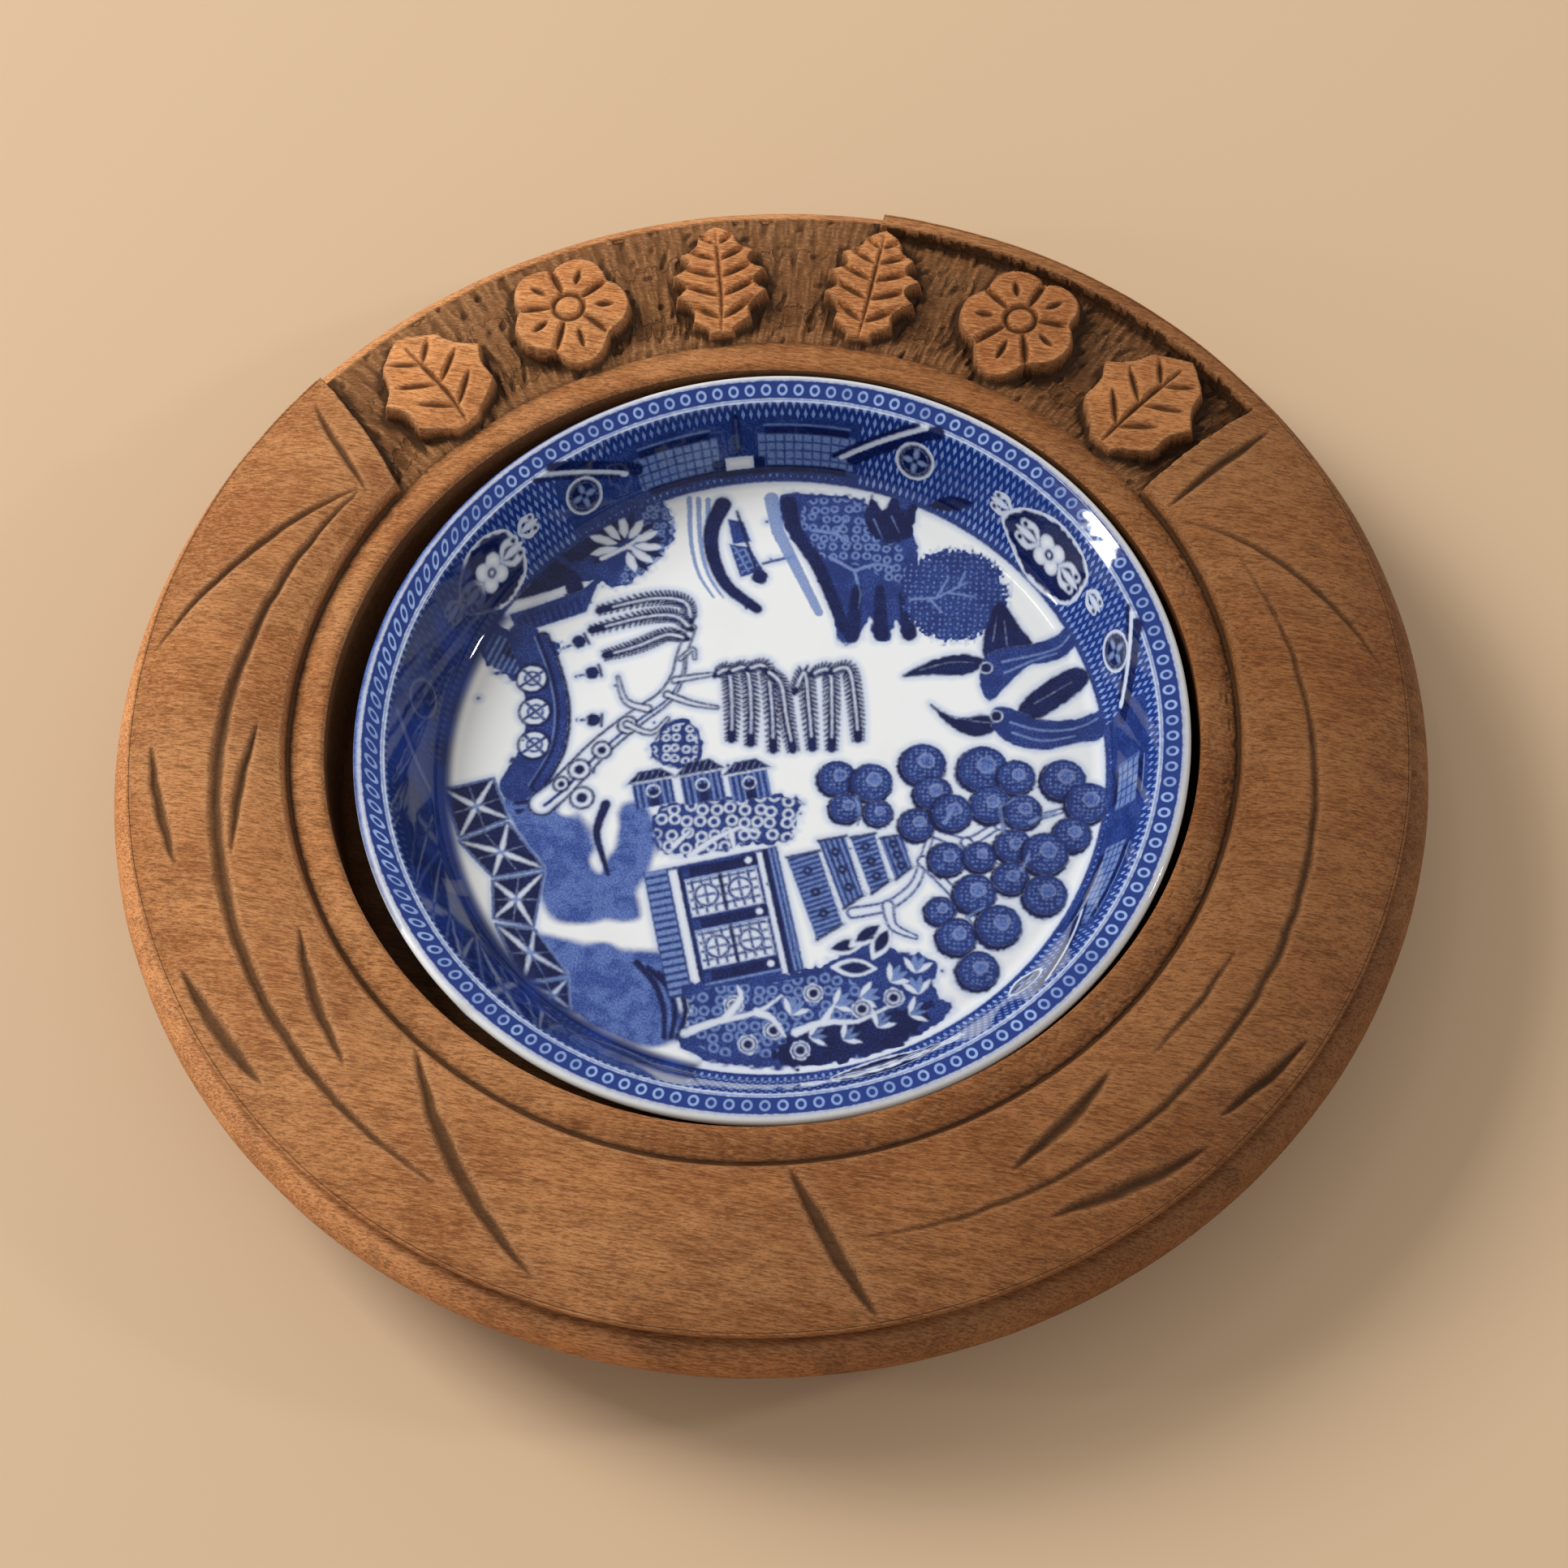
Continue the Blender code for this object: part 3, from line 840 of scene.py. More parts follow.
def draw_hall(ink):
    """The pavilion on the near bank: two latticed bays between dark beams and white posts."""
    put = turned_frame((-3.4, -25), 15)

    def block(a0, b0, a1, b1):
        return area(put((a0, b0), (a1, b0), (a1, b1), (a0, b1)))

    ink.middle(block(-12.4, -11.5, 8.4, 9.8))
    for b in np.arange(-11, 9.6, 1.25):
        ink.pale(block(-12.2, b, -8.9, b + 0.72))
        ink.middle(block(-10.9 + 0.8 * (int(b * 4) % 2), b, -10.5 + 0.8 * (int(b * 4) % 2), b + 0.7))
    ink.wipe(block(-8.6, -11.2, -7.2, 9.3))
    ink.dark(block(-7.2, -11.2, -6.7, 9.3))
    for base in (0.9, -7.8):
        ink.wipe(block(-6.4, base, 4.6, base + 6.4))
        ink.middle(within(block(-6.2, base + 0.3, 4.4, base + 6.1), check(15, 1.45, 0.42)))
        for a in (-3.6, 1.6):
            centre = put((a, base + 3.2))[0]
            ink.wipe(disc(*centre, 1.95))
            ink.middle(ring(*centre, 1.75, 0.45))
            ink.middle(stroke(put((a - 1.3, base + 3.2), (a + 1.3, base + 3.2)), 0.4))
            ink.middle(stroke(put((a, base + 1.9), (a, base + 4.5)), 0.4))
        ink.dark(stroke(put((-1, base + 0.2), (-1, base + 6.2)), 0.55))
    for b in (8.3, -0.4, -9.2):
        ink.dark(block(-6.6, b - 0.85, 4.9, b + 0.95))
        ink.wipe(disc(*put((3.7, b + 0.1))[0], 0.62))
        ink.pale(stroke(put((-6.4, b - 1.15), (5, b - 1.15)), 0.4))
        ink.middle(block(-6.8, b - 0.9, -5.2, b + 1))
    ink.wipe(block(5.1, -11.2, 6, 9.3))
    ink.dark(block(6, -11.3, 6.8, 9.6))
    ink.pale(within(block(6.9, -11, 8.3, 9.6), hatch(105, 0.75, 0.36)))


def draw_roofs(ink):
    """Tiled roofs stepping down to the right of the pavilion."""
    put = turned_frame((2.5, -15.2), -68)
    for i, (a, b, wide, deep) in enumerate(
        ((0.5, 1.2, 14.5, 4.6), (-0.5, 6.6, 12, 3.8), (0.6, 11.4, 10, 3.4), (2.2, 15.6, 7.4, 3.2))
    ):
        outline = put((a, b), (a + wide, b), (a + wide - 1.2, b + deep), (a + 0.6, b + deep + 0.5))
        ink.middle(area(outline))
        ink.pale(within(area(outline), hatch(22 + 90 * (i % 2), 0.85, 0.36)))
        ink.dark(stroke([outline[1], outline[2]], 0.5))
        ink.wipe(stroke([outline[3], outline[2]], 0.5, 0.4))
        ink.dark(stroke([outline[0], outline[3]], 0.42))
        for k in range(3):
            middle = put((a + wide * (0.22 + 0.26 * k), b + deep * 0.5))[0]
            ink.dark(disc(*middle, 0.75))
            ink.pale(disc(*middle, 0.38))


def draw_village(ink):
    """Small gabled houses with hatched walls behind the shrubs."""
    for x, y, wide, tall, lean in rows("-17.5 -4.6 6.2 5.6 14, -10 -3.2 6.4 6.4 14, -2.8 -2.6 6 6 14"):
        put = turned_frame((x, y), lean)
        half, eave = wide / 2, tall * 0.28
        wall = put((-half, -tall / 2), (half, -tall / 2), (half, eave), (-half, eave))
        ink.middle(area(wall))
        ink.pale(within(area(wall), hatch(lean + 90, 0.95, 0.36)))
        ink.dark(area(put((-0.8, -tall / 2), (0.8, -tall / 2), (0.8, 0), (-0.8, 0))))
        ink.wipe(ring(*put((0, -0.2))[0], 1, 0.35))
        ridge, top = wide * 0.28, tall * 0.62
        roof = put((-half - 0.9, eave), (half + 0.9, eave), (ridge, top), (-ridge, top))
        ink.dark(area(roof))
        ink.pale(within(area(roof), hatch(lean + 60, 0.9, 0.32)))
        ink.wipe(stroke([roof[0], roof[1]], 0.34))


def draw_willow(ink):
    trunk = curve("-13.6 24, -14.8 19.5, -15.2 15.5, -17 11.5, -21.5 7.4, -26.5 2.2, -31.5 -4.4, "
        "-34.5 -7.6", 5)
    ink.dark(stroke(trunk, 1.5, 4.6))
    ink.wipe(stroke(trunk, 0.75, 3.7))
    ink.middle(stroke([(x + 0.5, y - 0.3) for x, y in trunk[6:]], 0.3, 0.6))
    for x, y, radius in rows("-22.4 6.4 1.3, -26 1.9 1.25, -29.2 -1.6 1.5, -28.4 -6.4 1.6, -31.8 -4.2 1"):
        ink.dark(disc(x, y, radius + 0.45))
        ink.wipe(disc(x, y, radius))
        ink.dark(disc(x, y, radius * 0.55))
    for points, width in (
        ("-15.6 14.6, -12 15.4, -9 16", 1.5),
        ("-16.6 12, -12.6 10.6, -8.6 10", 1.6),
        ("-19.5 9.4, -23 10.6, -24.6 14.8", 1.7),
        ("-22.5 6.6, -18.6 5.2, -16.2 7.8", 1.5),
        ("-15 18.4, -13.2 20.2, -12.8 18.6", 1.1),
    ):
        draw_branch(ink, "dark", points, width, 0.8, width - 0.8, 0.2)
    for spray in (
        "-13.8 25, -15.2 28.6, -20.5 29, -28.5 26.6",
        "-13.6 23.6, -16.5 26, -21.5 25.6, -29.4 23",
        "-14.2 22, -17.5 22.6, -22 20.4, -26.8 18.6",
        "-9.4 15.6, -7.4 16.6, -6.4 11, -6 4.6",
        "-7.4 16.2, -4.6 17, -3.4 11, -3 4",
        "-4.6 16.8, -1.6 17.4, -0.2 11, 0.6 3",
        "-1.6 17, 1 14.6, 2.2 9, 3.6 3.2",
        "3.2 13, 4.6 16.6, 5.6 11, 6.6 3.6",
        "5.4 16.2, 8.4 17.2, 9.2 11, 9.6 3.6",
        "8.4 16.8, 11.4 17.6, 12.8 11.6, 13.6 5.4",
    ):
        draw_frond(ink, spray)


def draw_trees(ink):
    """The wooded island, the round tree beside it, and the trees round the house on the far left."""
    ink.pale(stroke("-2.6 48, -1.2 42, 2.4 35, 6.2 27.5", 2.4, 1.4))
    ink.middle(blob("-1.2 48.6, 5 49, 12 48.4, 15 45.6, 17.8 48.8, 20.8 47.6, 20.4 42.6, 21.6 37, 20 31, "
        "21.8 24.6, 19.8 23.2, 18.4 27, 17.4 23, 15.2 23.2, 14.2 27, 12.6 22.8, 9.8 22.4, 8.2 28, 5 35, "
        "2.6 38.6, -0.4 43.6", 0.35))
    ink.dark(stroke(curve("0.2 47.4, 1.4 42.6, 5.2 36.6, 7.8 31, 10.6 24.4", 4), 2.6, 1.9))
    ink.pale(within(blob("3.6 48, 12 47.6, 16.4 42, 19.6 38, 18 33, 13 36, 6.6 37.4, 2.6 42.4"),
        bubbles(1.75, 0.52, 0.36, 5)))
    ink.dark(blob("12.6 45.4, 13.4 49.2, 15.2 46.4, 17.2 49, 18.4 46.6, 20.6 47.4, 20 42.2, 16.6 40.2, "
        "13.4 42.4", 0.3))
    for start, end in (((12, 32), (11.6, 23.6)), ((15.6, 32), (16.2, 24)), ((19.4, 31), (20.6, 24.2))):
        ink.dark(stroke([start, end], 1.6, 2.5))
    draw_lines(ink, "pale", "7.4 37.6, 11.4 35.2, 12.6 31.2, 12.4 28.4; 11.4 35.2, 14.6 36.6, "
        "17.6 36.2; 14 44.8, 15.6 41.2; 16.8 45.4, 18.2 42.4; 4.6 42.4, 8 42, 9.6 44.6; 8 42, 10.6 40.2",
        0.62, 0.34)

    ink.middle(disc(27.4, 31.4, 8.2, 0.9))
    ink.pale(within(disc(27.4, 31.4, 8.6, 0.8), bubbles(0.95, 0.16, 0, 8)))
    draw_lines(ink, "pale", "20.6 30.4, 24.6 30.8, 29.4 33.8; 24.6 30.8, 26.4 34.6; 26.4 31.8, "
        "30.6 31.2; 23.4 30.7, 25.6 28.2; 28 32.9, 29 35.8", 0.45, 0.3)

    ink.middle(blob("-42 33, -38.5 40, -33.5 46, -27 49, -22 48.4, -18.6 44.6, -18.4 39, -22.4 33.6, "
        "-26.4 30.8, -31 32, -36 29", 0.7))
    ink.pale(within(blob("-27 48.6, -21.6 48, -18 44, -18.6 38, -22.4 33.4, -26 31.6, -24 38, -23 44"),
        bubbles(1.35, 0.4, 0.34, 12)))
    ink.dark(blob("-37 38, -33 43, -28.6 43.4, -25.6 40.2, -29.4 36.6, -34 35.4", 0.5))
    for i in range(9):
        turn = math.radians(-70 + 34 * i)
        start = (-25.4 + 1.5 * math.cos(turn), 38.6 + 1.5 * math.sin(turn))
        ink.wipe(leaf(start, (-25.4 + 5.8 * math.cos(turn), 38.6 + 5 * math.sin(turn)), 1.7))
        ink.dark(leaf((-25.4 + 3 * math.cos(turn + 0.3), 38.6 + 2.8 * math.sin(turn + 0.3)),
            (-25.4 + 6.4 * math.cos(turn + 0.3), 38.6 + 5.6 * math.sin(turn + 0.3)), 1.25))
    draw_lines(ink, None, "-29 36, -25 38.4, -21.6 41.6; -25 38.4, -21.4 36.6; -38 41.4, -35.6 43.8, "
        "-32 44.4", 0.9, 0.4)


def draw_house(ink):
    """The low house on the far left: a dark roof, a white eave and hatched walls."""
    ink.dark(area("-45.5 27.6, -39 36.6, -32.6 33.4, -30 28, -35 29.2, -42 26", 0.3))
    ink.middle(area("-42.8 25.2, -31.6 30.2, -28.6 33.6, -30.6 26.2, -41 21.8"))
    ink.wipe(area("-43.4 26.9, -34.4 30.9, -34 29.4, -42.6 25.3"))
    ink.dark(within(area("-41.4 24.6, -31 29, -30.8 26.6, -40.6 22.2"), hatch(112, 1.1, 0.38)))
    ink.middle(blob("-47 23, -42 22.6, -37 21.4, -34 19.6, -38 15.2, -42 14, -46.4 17.6", 0.6))
    ink.dark(blob("-41.4 21.6, -37.4 21.2, -35.4 18.8, -39 17, -43 18.4", 0.5))
    ink.pale(within(blob("-46 21.6, -41 19.8, -40 15, -45 16.2"), hatch(70, 1, 0.4)))


def draw_bridge(ink):
    """A humped bridge with three arches, seen from the side, and lanterns on its rail."""
    deck = curve("-37 21.4, -34.4 15.4, -32.6 8.6, -32.8 1.6, -35.4 -4.6", 5)
    ink.middle(stroke([(x - 3.2, y) for x, y in deck], 5.2, 5.6))
    for x, y in rows("-38 14, -37 8.2, -36.6 2.4"):
        ink.dark(disc(x, y, 2.75))
        ink.wipe(disc(x - 0.1, y, 2.25))
        ink.middle(stroke([(x - 1.7, y - 1.4), (x + 1.6, y + 1.4)], 0.5))
        ink.middle(stroke([(x - 1.6, y + 1.5), (x + 1.6, y - 1.4)], 0.5))
        ink.middle(ring(x, y, 1.15, 0.42))
    ink.dark(stroke(deck, 2.2, 2.6))
    ink.middle(stroke(deck, 1.3, 1.6))
    ink.pale(stroke([(x - 1.35, y) for x, y in deck], 0.34))
    for x, y, turn in rows("-33.6 19.6 -62, -31.2 14.6 -72, -30.4 7 -88, -30.8 -0.6 -96"):
        draw_lantern(ink, x, y, 2.6, turn)


def draw_water(ink):
    """Washes of ink for the lake, with a clear strip across it."""
    ink.draw("wash", blob("-39.6 -0.8, -33.6 -2, -31.4 -9, -28 -10.2, -26.2 -14.4, -24.4 -19, -22.8 -12, "
        "-21.6 -7.4, -18 -7.4, -15.6 -12, -16.6 -18, -18.6 -22, -17.6 -26.4, -24 -27.4, -31.4 -26.6, "
        "-33.4 -21, -36.4 -14, -40 -8", 0.8, 0.35))
    ink.draw("wash", blob("-35 -30.6, -28 -30.4, -20 -30.8, -13.4 -31.6, -11 -38, -9.6 -45.6, -17 -47, "
        "-25 -43.6, -31 -38.6", 0.8, 0.35))
    ink.dark(stroke(curve("-24.6 -7.4, -25.6 -12, -24.4 -16, -23.2 -19.2", 4), 1.6, 0.7))
    ink.dark(within(blob("-40.2 -0.4, -37.4 -0.2, -36.4 -7, -38.4 -9.4"), hatch(8, 1.5, 0.85)))
    for x in (0, 1.7, 3.3):
        line = curve([(-17.6 + x, -33.6 - x * 0.5), (-14.6 + x, -37), (-13 + x, -41), (-12.6 + x * 0.6,
            -45.4)], 4)
        ink.dark(stroke(line, 1.1, 0.8))


def draw_garden(ink):
    """The near garden: massed leaves with branches, flowers and dark undergrowth."""
    ink.middle(blob("-11 -37, -3 -36, 4 -34.4, 10 -33, 14.6 -29.6, 20 -26.6, 21 -30, 26.6 -31, 27.6 -36.6, "
        "30 -39.6, 22 -45.4, 10 -49.2, -4 -49.4, -10.4 -46, -8.6 -41", 0.5))
    ink.pale(within(blob("-8.4 -38, 4 -35.8, 12 -34, 17 -38, 12 -46, -3 -48, -8.4 -45"), bubbles(2, 0.62,
        0.42, 21)))
    ink.dark(blob("4 -46.4, 9.6 -42.6, 15 -41.4, 21 -40, 27 -38.4, 23.4 -44.4, 13 -48.4, 6 -49.4", 0.8))
    for x, y, turn in rows("12.4 -39.2 30, 16.2 -37.6 12, 20.6 -35 50, 24.2 -33.4 80, 9 -44.4 20, "
        "14 -44.6 40, 19 -42.4 60, 23.6 -40.2 30, 24.8 -36.8 100, 6 -41 65"):
        for step in (-46, -15, 15, 46):
            reach = math.radians(turn + step)
            ink.draw("pale" if step % 2 else None, leaf((x, y), (x + 2.9 * math.cos(reach),
                y + 2.9 * math.sin(reach)), 0.95))
    for x, y in rows("16.6 -39.6, 9.2 -37.4, 3.6 -43.6, -2.6 -39.8, 21.2 -37.6, 7.8 -46.6, 0 -46"):
        ink.wipe(disc(x, y, 1.55, 0.2))
        ink.dark(disc(x, y, 0.72))
        ink.middle(ring(x, y, 1.15, 0.28))
    draw_lines(ink, None, "-9.6 -44.6, -5 -42.6, 1 -40.8, 4.4 -38; -3.6 -42, -1.6 -38.6, "
        "-2.2 -36.8; 1 -40.8, 3.4 -41.8, 5.4 -44.6; 7 -43.8, 11 -42, 16 -41.6, 20.6 -39; 11 -42, 12.4 -39",
        1.5, 0.45, 3)
    for x, y, turn in rows("11.6 -30 20, 15.2 -28.6 45, 13 -33 0, 18.2 -30.2 70"):
        reach = math.radians(turn)
        ink.wipe(leaf((x - 1.2 * math.cos(reach), y - 1.2 * math.sin(reach)), (x + 5.2 * math.cos(reach),
            y + 4.4 * math.sin(reach)), 3))
        ink.dark(leaf((x, y), (x + 4.4 * math.cos(reach), y + 3.6 * math.sin(reach)), 1.9))


def draw_shrubs(ink):
    ink.middle(blob("-18.6 3, -16.4 6.8, -13.2 7.6, -10.8 5, -10.6 0.4, -14 -0.6, -17.4 0.2", 0.4))
    ink.wipe(within(blob("-18 3, -16 6.2, -13.2 7, -11.4 4.8, -11.4 0.6, -14 0.2, -17 0.8"), bubbles(1.7,
        0.5, 0.36, 31)))
    ink.middle(blob("-16 -7.4, -10 -6.4, -4 -5, 1 -4.6, 5.4 -5.6, 5 -9, 3.6 -12.6, -2 -13.2, -8 -15, "
        "-15 -15.4, -17 -11.4", 0.5))
    ink.wipe(within(blob("-16 -8, -4 -5.8, 1 -5.2, 5.6 -6.2, 4.6 -11.8, -2 -12.8, -8 -14.6, -15 -15"),
        bubbles(2.15, 0.74, 0.42, 35)))
    draw_lines(ink, None, "-11 -15.6, -7.6 -12.6, -3.6 -10.4, -0.6 -11.2; -5 -11.2, -4.2 -14.4; -13.6 -14, "
        "-11.4 -11.6", 1, 0.45)


def draw_fruit_tree(ink):
    for line in (
        "14.4 -24, 19.6 -22.6, 23.4 -19, 24.6 -14.6, 26 -9, 28 -4.4",
        "24.6 -15, 28 -18.6, 32 -23.4, 34 -28",
        "26 -10, 31 -11.6, 36 -8.4, 42 -6.8, 46 -5.4",
        "31 -11.6, 35 -15.2, 40.6 -16.4",
        "36 -8.4, 37.4 -3.4",
        "19.6 -22.6, 20.6 -26, 24 -27.6",
    ):
        draw_branch(ink, "middle", line, 2.1, 0.9, 1.3, 0.35)
    for x, y, radius in rows("10.6 -1.8 2.9, 15.8 -2.4 3.2, 12.2 -6.8 2.5, 17.2 -7.4 2.2, 23.6 1 3.5, "
        "25.4 -3.8 2.9, 23.2 -9.2 2.7, 32.8 0.6 3.8, 38 -0.6 2.9, 34.2 -5.4 3.1, 28.4 -7 3.1, 39.2 -6.4 2.9, "
        "45.2 -0.8 3.4, 49 -4.6 3.4, 46.8 -10 2.9, 28 -14.8 2.8, 33 -14.2 2.5, 38 -12.2 2.8, 42.8 -13.4 3.5, "
        "37.8 -17.6 2.7, 43 -20.2 3.3, 32.4 -20.4 3.2, 27.4 -23.4 2.3, 30 -27.6 3, 36.2 -25.6 3.4, "
        "33.4 -33 3.1"):
        draw_fruit(ink, x, y, radius)
    for line in ("13.9 -4.6, 14.6 -7.2, 14.3 -9.4", "27.6 -8.4, 28.8 -5.8", "36.6 -9.6, 36 -5.4, 38 -3.8",
        "40.6 -7.8, 44.4 -5.8", "39.6 -15.8, 40.6 -13.2", "31.6 -24, 34 -22.4"):
        ink.pale(stroke(line, 0.75, 0.4))


def draw_boat(ink):
    for shift in (0, 1.5, 3):
        ink.pale(stroke(curve([(-15.8 + shift, 47.4), (-15 + shift, 40), (-13.4 + shift, 34),
            (-10.6 + shift, 29.6)], 4), 0.9, 0.4))
    ink.dark(stroke(curve("-10.4 46.6, -11.8 42, -11.2 37, -8.6 31.8, -3.6 27.8", 5), 2.9, 1.7))
    ink.middle(area("-9.4 44, -6.8 43.6, -5.4 40, -8.2 39.4"))
    ink.middle(area("-8.8 39.4, -5.6 39, -3 34.8, -6.6 33.4"))
    ink.pale(within(area("-8.4 39, -5.8 38.6, -3.6 35.2, -6.4 34"), check(30, 1.2, 0.34)))
    ink.dark(stroke("-8 45.4, -3.4 32.6", 0.5))
    ink.dark(disc(-3.5, 33.6, 1.25, 0.2))
    ink.middle(stroke(curve("-3.2 36, -0.8 36.8, 1.4 37.4", 3), 0.5))


def draw_landscape(ink):
    """A lakeside in the old blue and white manner, over the floor of the well."""
    draw_boat(ink)
    draw_trees(ink)
    draw_house(ink)
    draw_water(ink)
    draw_bridge(ink)
    draw_shrubs(ink)
    draw_village(ink)
    draw_hall(ink)
    draw_roofs(ink)
    draw_garden(ink)
    for corners in (
        "-50 -6, -42.4 -3.6, -39.4 -10.4, -46.6 -14",
        "-46.6 -14.6, -39.4 -11, -33 -18.6, -40.8 -20.4",
        "-40.8 -21, -33 -19.2, -33.8 -28.4, -40 -27.2",
        "-39.6 -28.2, -33.6 -28.8, -27.8 -36, -34.4 -37.6",
        "-34.2 -38, -27.8 -36.6, -27 -41.6, -31 -41.8",
    ):
        draw_fence_panel(ink, corners)
    draw_willow(ink)
    draw_fruit_tree(ink)
    draw_swallows(ink)
    for i in range(46):
        x, y = 47 * math.sin(i * 12.9898 + 1), 44 * math.sin(i * 78.233 + 2)
        if x * x + y * y < 2300:
            ink.middle(disc(x, y, 0.16 + 0.05 * (i % 4)))


def draw_blossom(ink, x, y, size, tone=None):
    for step in range(4):
        turn = math.radians(45 + 90 * step)
        ink.draw(tone, disc(x + size * 0.62 * math.cos(turn), y + size * 0.62 * math.sin(turn), size * 0.5))
    ink.dark(disc(x, y, size * 0.3))
    ink.draw(tone, disc(x, y, size * 0.14))


def draw_medallion(ink, x, y, radius=3.1):
    ink.wipe(disc(x, y, radius + 0.3))
    ink.dark(disc(x, y, radius - 0.25))
    ink.pale(ring(x, y, radius - 0.8, 0.3))
    for step in range(4):
        turn = math.radians(90 * step)
        end = (x + (radius - 0.7) * math.cos(turn), y + (radius - 0.7) * math.sin(turn))
        ink.pale(leaf((x, y), end, 1.3))
    ink.dark(disc(x, y, 0.5))


def draw_scroll(ink, x, y, side, size):
    """A pair of curling leaves that open to one side."""
    for rise in (-1, 1):
        points = [(x, y), (x + side * 1.6 * size, y + rise * 1.7 * size), (x + side * 3.6 * size,
            y + rise * 1.2 * size)]
        ink.wipe(stroke(curve(points, 4), 0.5 * size, 1.5 * size))
        ink.dark(disc(x + side * 3.4 * size, y + rise * 1.2 * size, 0.42 * size))
    ink.wipe(leaf((x + side * 0.5, y), (x + side * 4.6 * size, y), 1.3 * size))


def draw_fret(ink, start, end, low, high):
    """A dark block with a pale grid in it."""
    ink.dark(area([(start, low), (end, low), (end, high), (start, high)]))
    inner = area([(start + 1.1, low + 1.1), (end - 1.1, low + 1.1), (end - 1.1, high - 1.1), (start + 1.1,
        high - 1.1)])
    ink.pale(inner)
    ink.middle(within(inner, check(0, 1.55, 0.72)))
    ink.pale(stroke([(start, high + 0.35), (end, high + 0.35)], 0.35))


def draw_border(ink):
    """The border round the wall, drawn with X in degrees round the liner and Y in millimetres up the wall."""
    ink.draw("lattice", area([(-95, BORDER_FOOT), (275, BORDER_FOOT), (275, 0.2), (-95, 0.2)]))
    ink.draw("chain", area("-95 0.8, 275 0.8, 275 3.75, -95 3.75"))
    ink.pale(stroke("-95 0.6, 275 0.6", 0.36))
    ink.middle(stroke([(-95, BORDER_FOOT), (275, BORDER_FOOT)], 0.8))
    ink.draw("wash", stroke("-95 3.9, 275 3.9", 0.3))
    ink.draw("wash", leaf((112, 4.9), (214, 4.9), 1.9))

    # Dark bands between the lattice and the frets.
    for start, end in rows("78 130, -30 10, 182 236"):
        ink.middle(area([(start, -13.2), (end, -13.2), (end, -2.6), (start, -2.6)], 0.5, 0.4))
    ink.draw("lattice", area("104 -2.8, 94 -2.8, 94 -0.3, 104 -0.3"))
    for start, end in rows("115 103, 94 80, 0 -6, -15 -28, 222 208, 200 186"):
        draw_fret(ink, start, end, -12.4, -4.2)
    ink.dark(area("103 -12.6, 94 -12.6, 94 -9.4, 103 -9.4"))
    ink.wipe(area("101 -11.6, 96 -11.6, 96 -9.2, 101 -9.2"))
    ink.dark(stroke("98.5 -2, 98.5 -8.2", 1.3))
    ink.pale(stroke("98.5 -2.6, 98.5 -7.6", 0.5))
    ink.wipe(area("208.6 -14.4, 205 -14.4, 205.4 -9, 208.2 -9"))
    for start, end in (
        ((129, 0), (116, -7)),
        ((66, 0), (79, -9)),
        ((20, 0), (9, -9)),
        ((-28, -10), (-43, -2)),
        ((235, -4), (222, -11)),
        ((186, -11), (176, -2)),
    ):
        ink.dark(stroke([start, end], 2.3))
        ink.wipe(stroke([(start[0] + 2, start[1]), (end[0] + 2, end[1])], 1.1))
        ink.dark(stroke([(start[0] + 3.4, start[1]), (end[0] + 3.4, end[1])], 0.9))
    for x, y, half_width, half_height in rows("147 -7.4 7.2 5.6, 40.5 -7.6 9 5.6, -68 -8.4 8.6 4.8, "
        "250 -7.6 8 5"):
        outline = [
            (x + half_width * math.cos(t) * (1 + 0.1 * math.cos(3 * t)),
                y + half_height * math.sin(t)) for t in np.arange(0, math.tau, 0.5)
        ]
        ink.wipe(blob([(x + (a - x) * 1.08, y + (b - y) * 1.1) for a, b in outline]))
        ink.dark(blob(outline, 0.3))
        draw_blossom(ink, x, y, 3)
        draw_scroll(ink, x - 2.6, y, -1, 1.1)
        draw_scroll(ink, x + 2.6, y, 1, 1.1)
        for side in (-1, 1):
            draw_scroll(ink, x + side * (half_width + 0.6), y + 1.5, side, 0.9)
    for x, y in rows("126 -7.2, 173 -7, 68.5 -6.4, 19.5 -6.6, -41.5 -9.6, 230 -7"):
        draw_medallion(ink, x, y)
    ink.dark(leaf((64, -13), (57, -9), 2.6))
    # Painted shade: the deep tone darkens the border from 150 to 262 degrees, on the left of the wall.
    ink.draw("deep", area("150 -15, 262 -15, 262 -0.2, 150 -0.2"))


# ---------------------------------------------------------------- shader nodes


